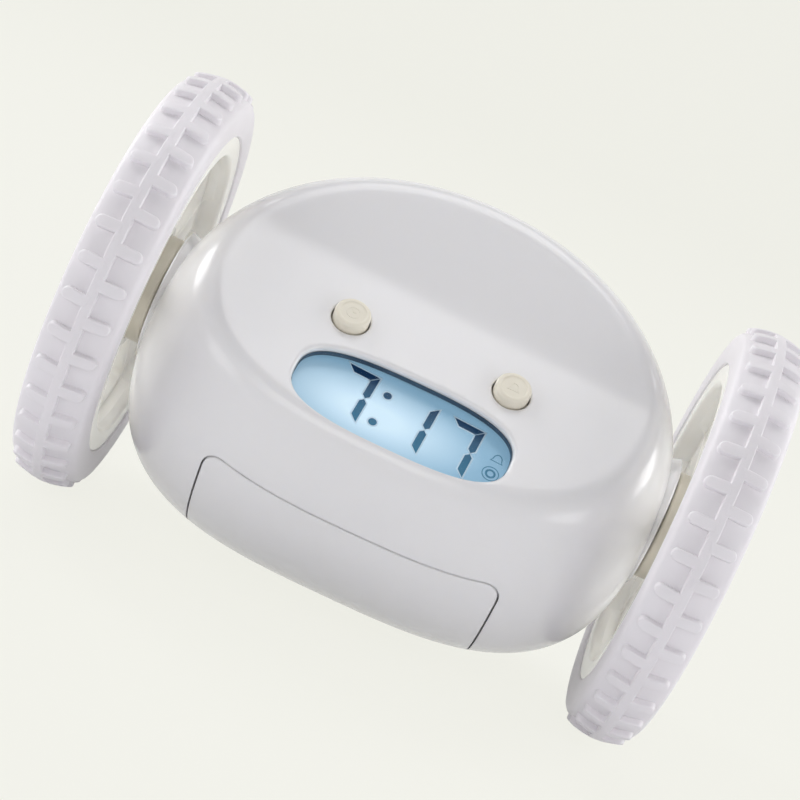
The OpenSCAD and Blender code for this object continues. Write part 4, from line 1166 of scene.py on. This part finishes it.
def make_wheels():
    in_face, out_face = WHEEL_X - RIM_HALF, WHEEL_X + RIM_HALF
    key_in, key_out = WHEEL_X - KEY_HALF, WHEEL_X + KEY_HALF
    key_r = TYRE_SEAT_R - KEY_H
    web_r, lip_r = WINDOW_OUT_R - 0.01, WINDOW_OUT_R + RIM_LIP
    for name, side in (("left", -1), ("right", 1)):
        wheel = spun(filleted([
            (HUB_X, 0, 0), (HUB_X, HUB_R, 0.8), (WEB_IN, HUB_R, 0.6), (WEB_IN, web_r, 1.2),
            (in_face, lip_r, 1.2), (in_face, TYRE_SEAT_R, 0.3), (key_in, TYRE_SEAT_R, 0),
            (key_in, key_r, 0), (key_out, key_r, 0), (key_out, TYRE_SEAT_R, 0),
            (out_face, TYRE_SEAT_R, 0.3), (out_face, lip_r, 1.2), (WEB_OUT, web_r, 1.2),
            (WEB_OUT, HUB_R, 0.6), (HUB_OUT, HUB_R, 0.5), (HUB_OUT, 0, 0)]))
        steps = [(2 * WEB_IN - h, g) for h, g in reversed(rounding(WEB_IN, WINDOW_LIP, 1))]
        steps = [(WEB_IN - 2, WINDOW_LIP)] + steps + rounding(WEB_OUT, WINDOW_LIP, 1)
        steps += [(WEB_OUT + 2, WINDOW_LIP)]
        cutters = [moved(loft(window_outline, steps),
                         turned(SPOKE_TURN + 2 * math.pi * k / SPOKES, "X"), ALONG_AXLE)
                   for k in range(SPOKES)]
        cutters.append(spun([(0, 0), (0, AXLE_R), (FAR, AXLE_R), (FAR, 0)], 48))
        wheel = combined(wheel, joined(*cutters), "DIFFERENCE")
        moulding = piece(name + "_wheel_moulding", on_side(wheel, side), name + "_drive_wheel",
                         wheel_abs_painted_bright, [name + "_wheel"])
        # Painted shade: the faces of the boss take the warmer ivory ABS, for the shade in the hollow by the
        # hub.
        moulding.data.materials.append(ivory_abs)
        for face in moulding.data.polygons:
            x, y, z = face.center / MM
            if abs(x) < WEB_IN - 0.4 and math.hypot(y, z - WHEEL_R) < HUB_R + 0.1:
                face.material_index = 1


make_wheels()

# ---- Tyres ----
# Soft white rubber that grips the rim, moulded with a middle rib and round-ended lugs that
# stand half a pitch apart on its two sides.
TYRE_HALF = 6.6
LUGS = 37
LUG_H = 1.3
LUG_W = 2.3
LUG_REACH = 5.3
RIB_W = 1.9
RIB_ROOT = 1                      # how deep the rib's foot lies in the tyre
TREAD_EDGE = 5.6
CROWN = 1.1                       # how much lower the tread's edge lies than its middle
TREAD_STEPS = 222                 # round the tyre, six to each lug


def soft_rubber():
    """White rubber from a plain steel mould: dull, slightly lilac, with a fine matt skin."""
    made, tree = new_material("white_moulded_rubber")
    place = add(tree, "TexCoord")
    clouds = add(tree, "TexNoise", {"Scale": 1 / (14 * MM), "Detail": 2}, {"Vector": (place, "Object")})
    tone = add(tree, "Mix", {"data_type": "RGBA", 6: colour("#e6e2e5"), 7: colour("#edeaee")},
               {0: (clouds, 0)})
    grain = add(tree, "TexNoise", {"Scale": 1 / (0.25 * MM), "Detail": 4}, {"Vector": (place, "Object")})
    bump = add(tree, "Bump", {"Strength": 0.5, "Distance": 0.012 * MM}, {"Height": (grain, 0)})
    shine = add(tree, "MapRange", {"To Min": 0.42, "To Max": 0.55}, {"Value": (grain, 0)})
    shader = add(tree, "BsdfPrincipled",
                 {"IOR": 1.5, "Subsurface Weight": 0.1, "Subsurface Radius": (1.0, 0.85, 0.9),
                  "Subsurface Scale": 1 * MM},
                 {"Base Color": (tone, 2), "Roughness": (shine, 0), "Normal": (bump, 0)})
    add(tree, "OutputMaterial", {}, {"Surface": (shader, 0)})
    return made


def lug(way):
    """One round-ended lug that grows out of the middle rib to one side, bent to the crown."""
    outline = rounded_bar(2 * LUG_REACH, LUG_W, LUG_W / 2 - 0.01, 6)
    bar = loft(outline, [(WHEEL_R - LUG_H - 2.6, 0.12), (WHEEL_R - 0.35, 0)] +
               rounding(WHEEL_R, 0.3, -1, 3)[1:])
    for x in (way * 0.2, 2.2 * way, 4.2 * way):
        bmesh.ops.bisect_plane(bar, geom=bar.verts[:] + bar.edges[:] + bar.faces[:], plane_co=(x, 0, 0),
                               plane_no=(way, 0, 0), clear_inner=abs(x) < 1)
    bmesh.ops.holes_fill(bar, edges=bar.edges)
    for vert in bar.verts:
        vert.co.z -= CROWN * (vert.co.x / TREAD_EDGE) ** 2
    bmesh.ops.recalc_face_normals(bar, faces=bar.faces)
    return bar


def make_tyres():
    rubber = soft_rubber()
    floor_r = WHEEL_R - LUG_H
    edge_r = floor_r - CROWN
    half = [(TREAD_EDGE * i / 6, floor_r - CROWN * (i / 6) ** 2) for i in range(7)]
    half += [(TREAD_EDGE + 0.45, edge_r - 0.28), (TYRE_HALF - 0.2, edge_r - 0.75), (TYRE_HALF, edge_r - 1.5),
             (TYRE_HALF, TYRE_SEAT_R + 0.7), (TYRE_HALF - 0.12, TYRE_SEAT_R + 0.25),
             (RIM_HALF, TYRE_SEAT_R), (KEY_HALF, TYRE_SEAT_R), (KEY_HALF, TYRE_SEAT_R - KEY_H)]
    profile = half + [(-a, r) for a, r in reversed(half[1:])]
    rib_edge = WHEEL_R - CROWN * (RIB_W / 2 / TREAD_EDGE) ** 2
    root_r = floor_r - RIB_ROOT
    rib_profile = filleted([
        (0, root_r, 0), (-RIB_W / 2 - 0.1, root_r, 0), (-RIB_W / 2, rib_edge, 0.3),
        (RIB_W / 2, rib_edge, 0.3), (RIB_W / 2 + 0.1, root_r, 0), (0, root_r, 0)], 3)[:-1]
    for name, side in (("left", -1), ("right", 1)):
        tread = []
        for k in range(LUGS):
            for way in (-1, 1):
                turn = 2 * math.pi * (k + (0 if way > 0 else 0.5)) / LUGS
                tread.append(moved(lug(way), turned(turn, "X")))
        band = spun(rib_profile, TREAD_STEPS, closed=True)
        tyre = combined(spun(profile, TREAD_STEPS, closed=True), band, "UNION")
        tyre = moved(combined(tyre, joined(*tread), "UNION"), at(WHEEL_X, 0, 0))
        piece(name + "_tyre_rubber", on_side(tyre, side), name + "_drive_wheel", rubber,
              [name + "_tyre"])


make_tyres()

# ---- Hub caps ----
# Shallow domes of the ivory ABS, moulded hollow and pressed onto the ends of the hubs,
# where they hide the wheel screws.
CAP_R = 9
CAP_SEAT = 1.6                    # width of the rim that lies on the hub
CAP_ROOM = 1.9                    # over the screw's head
CAP_RIM = 2.4
CAP_DOME = 3.4


def make_hub_caps():
    for name, side in (("left", -1), ("right", 1)):
        room, inner_r = HUB_OUT + CAP_ROOM, CAP_R - CAP_SEAT
        cap = spun(filleted([(room, 0, 0), (room, inner_r, 0.2), (HUB_OUT, inner_r, 0.2),
                             (HUB_OUT, CAP_R, 0.3), (HUB_OUT + CAP_RIM, CAP_R, 1.2),
                             (HUB_OUT + CAP_DOME, 0, 0)]), 96)
        piece(name + "_hub_dome", on_side(cap, side), name + "_drive_wheel", ivory_abs,
              [name + "_hub_cap"])


make_hub_caps()

# ---- Drive ----
# A gear train for each wheel, moulded in slippery acetal, runs on plated steel pins between
# two frames of natural ABS. A small motor in a zinc plated can turns it.

# Acetal is waxy, milky white. ABS without pigment is a matt cream. Turned brass keeps a bright
# yellow, and the bluish zinc of the motor is a soft grey.
acetal = moulded_plastic("natural_acetal", "#f1efe6", 0.32, wave_mm=4, through=0.15)
natural_abs = moulded_plastic("natural_abs", "#e4ddc9", 0.5, grain_mm=0.25, grain_height=0.015)
brass = plated_metal("turned_brass", "#a8853f", "#c9a65a", 0.25, 1)
motor_zinc = plated_metal("zinc_plated_can", "#8b8d90", "#a9abae", 0.33, 2)

for side in ("left", "right"):
    finished(acetal, *(side + part for part in ("_bushing", "_output_gear", "_middle_gear")))
    finished(natural_abs, side + "_gear_frame", side + "_gear_cover")
    finished(nickel_plate, *(side + part for part in ("_axle", "_gear_pin", "_wheel_screw")))
    finished(motor_zinc, side + "_motor")
    finished(brass, side + "_motor_rotor")

# ---- Leads ----
# Thin stranded wires in soft PVC: red to the motors and the loudspeaker, black from the
# cells, grey between the boards. The extruded sleeve has a soft, satin sheen.
for code, name, leads in (("#c2382e", "red_pvc_sleeve", ("motor_leads", "speaker_leads")),
                          ("#232325", "black_pvc_sleeve", ("battery_leads",)),
                          ("#c4c5c3", "grey_pvc_sleeve", ("board_leads",))):
    finished(moulded_plastic(name, code, 0.42, wave_mm=6), *leads)

# ---- Casing screws ----
# Four long nickel plated steel screws with cross-recessed pan heads. They go in from behind
# and hold the rear shell to the front one.
THREAD_PITCH = 0.9
THREAD_DEPTH = 0.18
HEAD_RISE = 0.45
HEAD_ROUND = 0.9
RECESS_L = 3
RECESS_W = 0.6
RECESS_DEPTH = 0.8


def make_casing_screws():
    top = SCREW_SEAT - HEAD_T
    turns = int((SCREW_BITE - SCREW_SEAT) / THREAD_PITCH * 2)
    thread = [(SCREW_BITE - i * THREAD_PITCH / 2, SCREW_HOLE_R - (THREAD_DEPTH if i % 2 else 0))
              for i in range(1, turns + 1)]
    head = [(top + HEAD_RISE * (1 - math.sin(t)), HEAD_R - HEAD_ROUND * (1 - math.cos(t)))
            for t in (QUARTER * i / 5 for i in range(6))]
    profile = [(SCREW_BITE, 0), (SCREW_BITE, SCREW_HOLE_R - 0.25)] + thread
    profile += [(SCREW_SEAT + 0.02, SCREW_HOLE_R - 0.1), (SCREW_SEAT, SCREW_HOLE_R),
                (SCREW_SEAT, HEAD_R)] + head + [(top, 0)]
    screws = []
    for x, v in SHELL_SPOTS:
        screw = moved(spun(profile, 32), turned(-QUARTER, "Y"))
        for turn in (0, QUARTER):
            bar = loft(rounded_bar(RECESS_L, RECESS_W, 0.1, 2), [(top - 1, 0), (top + RECESS_DEPTH, -0.1)])
            screw = combined(screw, moved(bar, turned(turn, "Z")), "DIFFERENCE")
        screws.append(moved(screw, parting, at(x, v, 0)))
    piece("casing_screws", joined(*screws), "clock_body", nickel_plate, ["shell_screws"])


make_casing_screws()
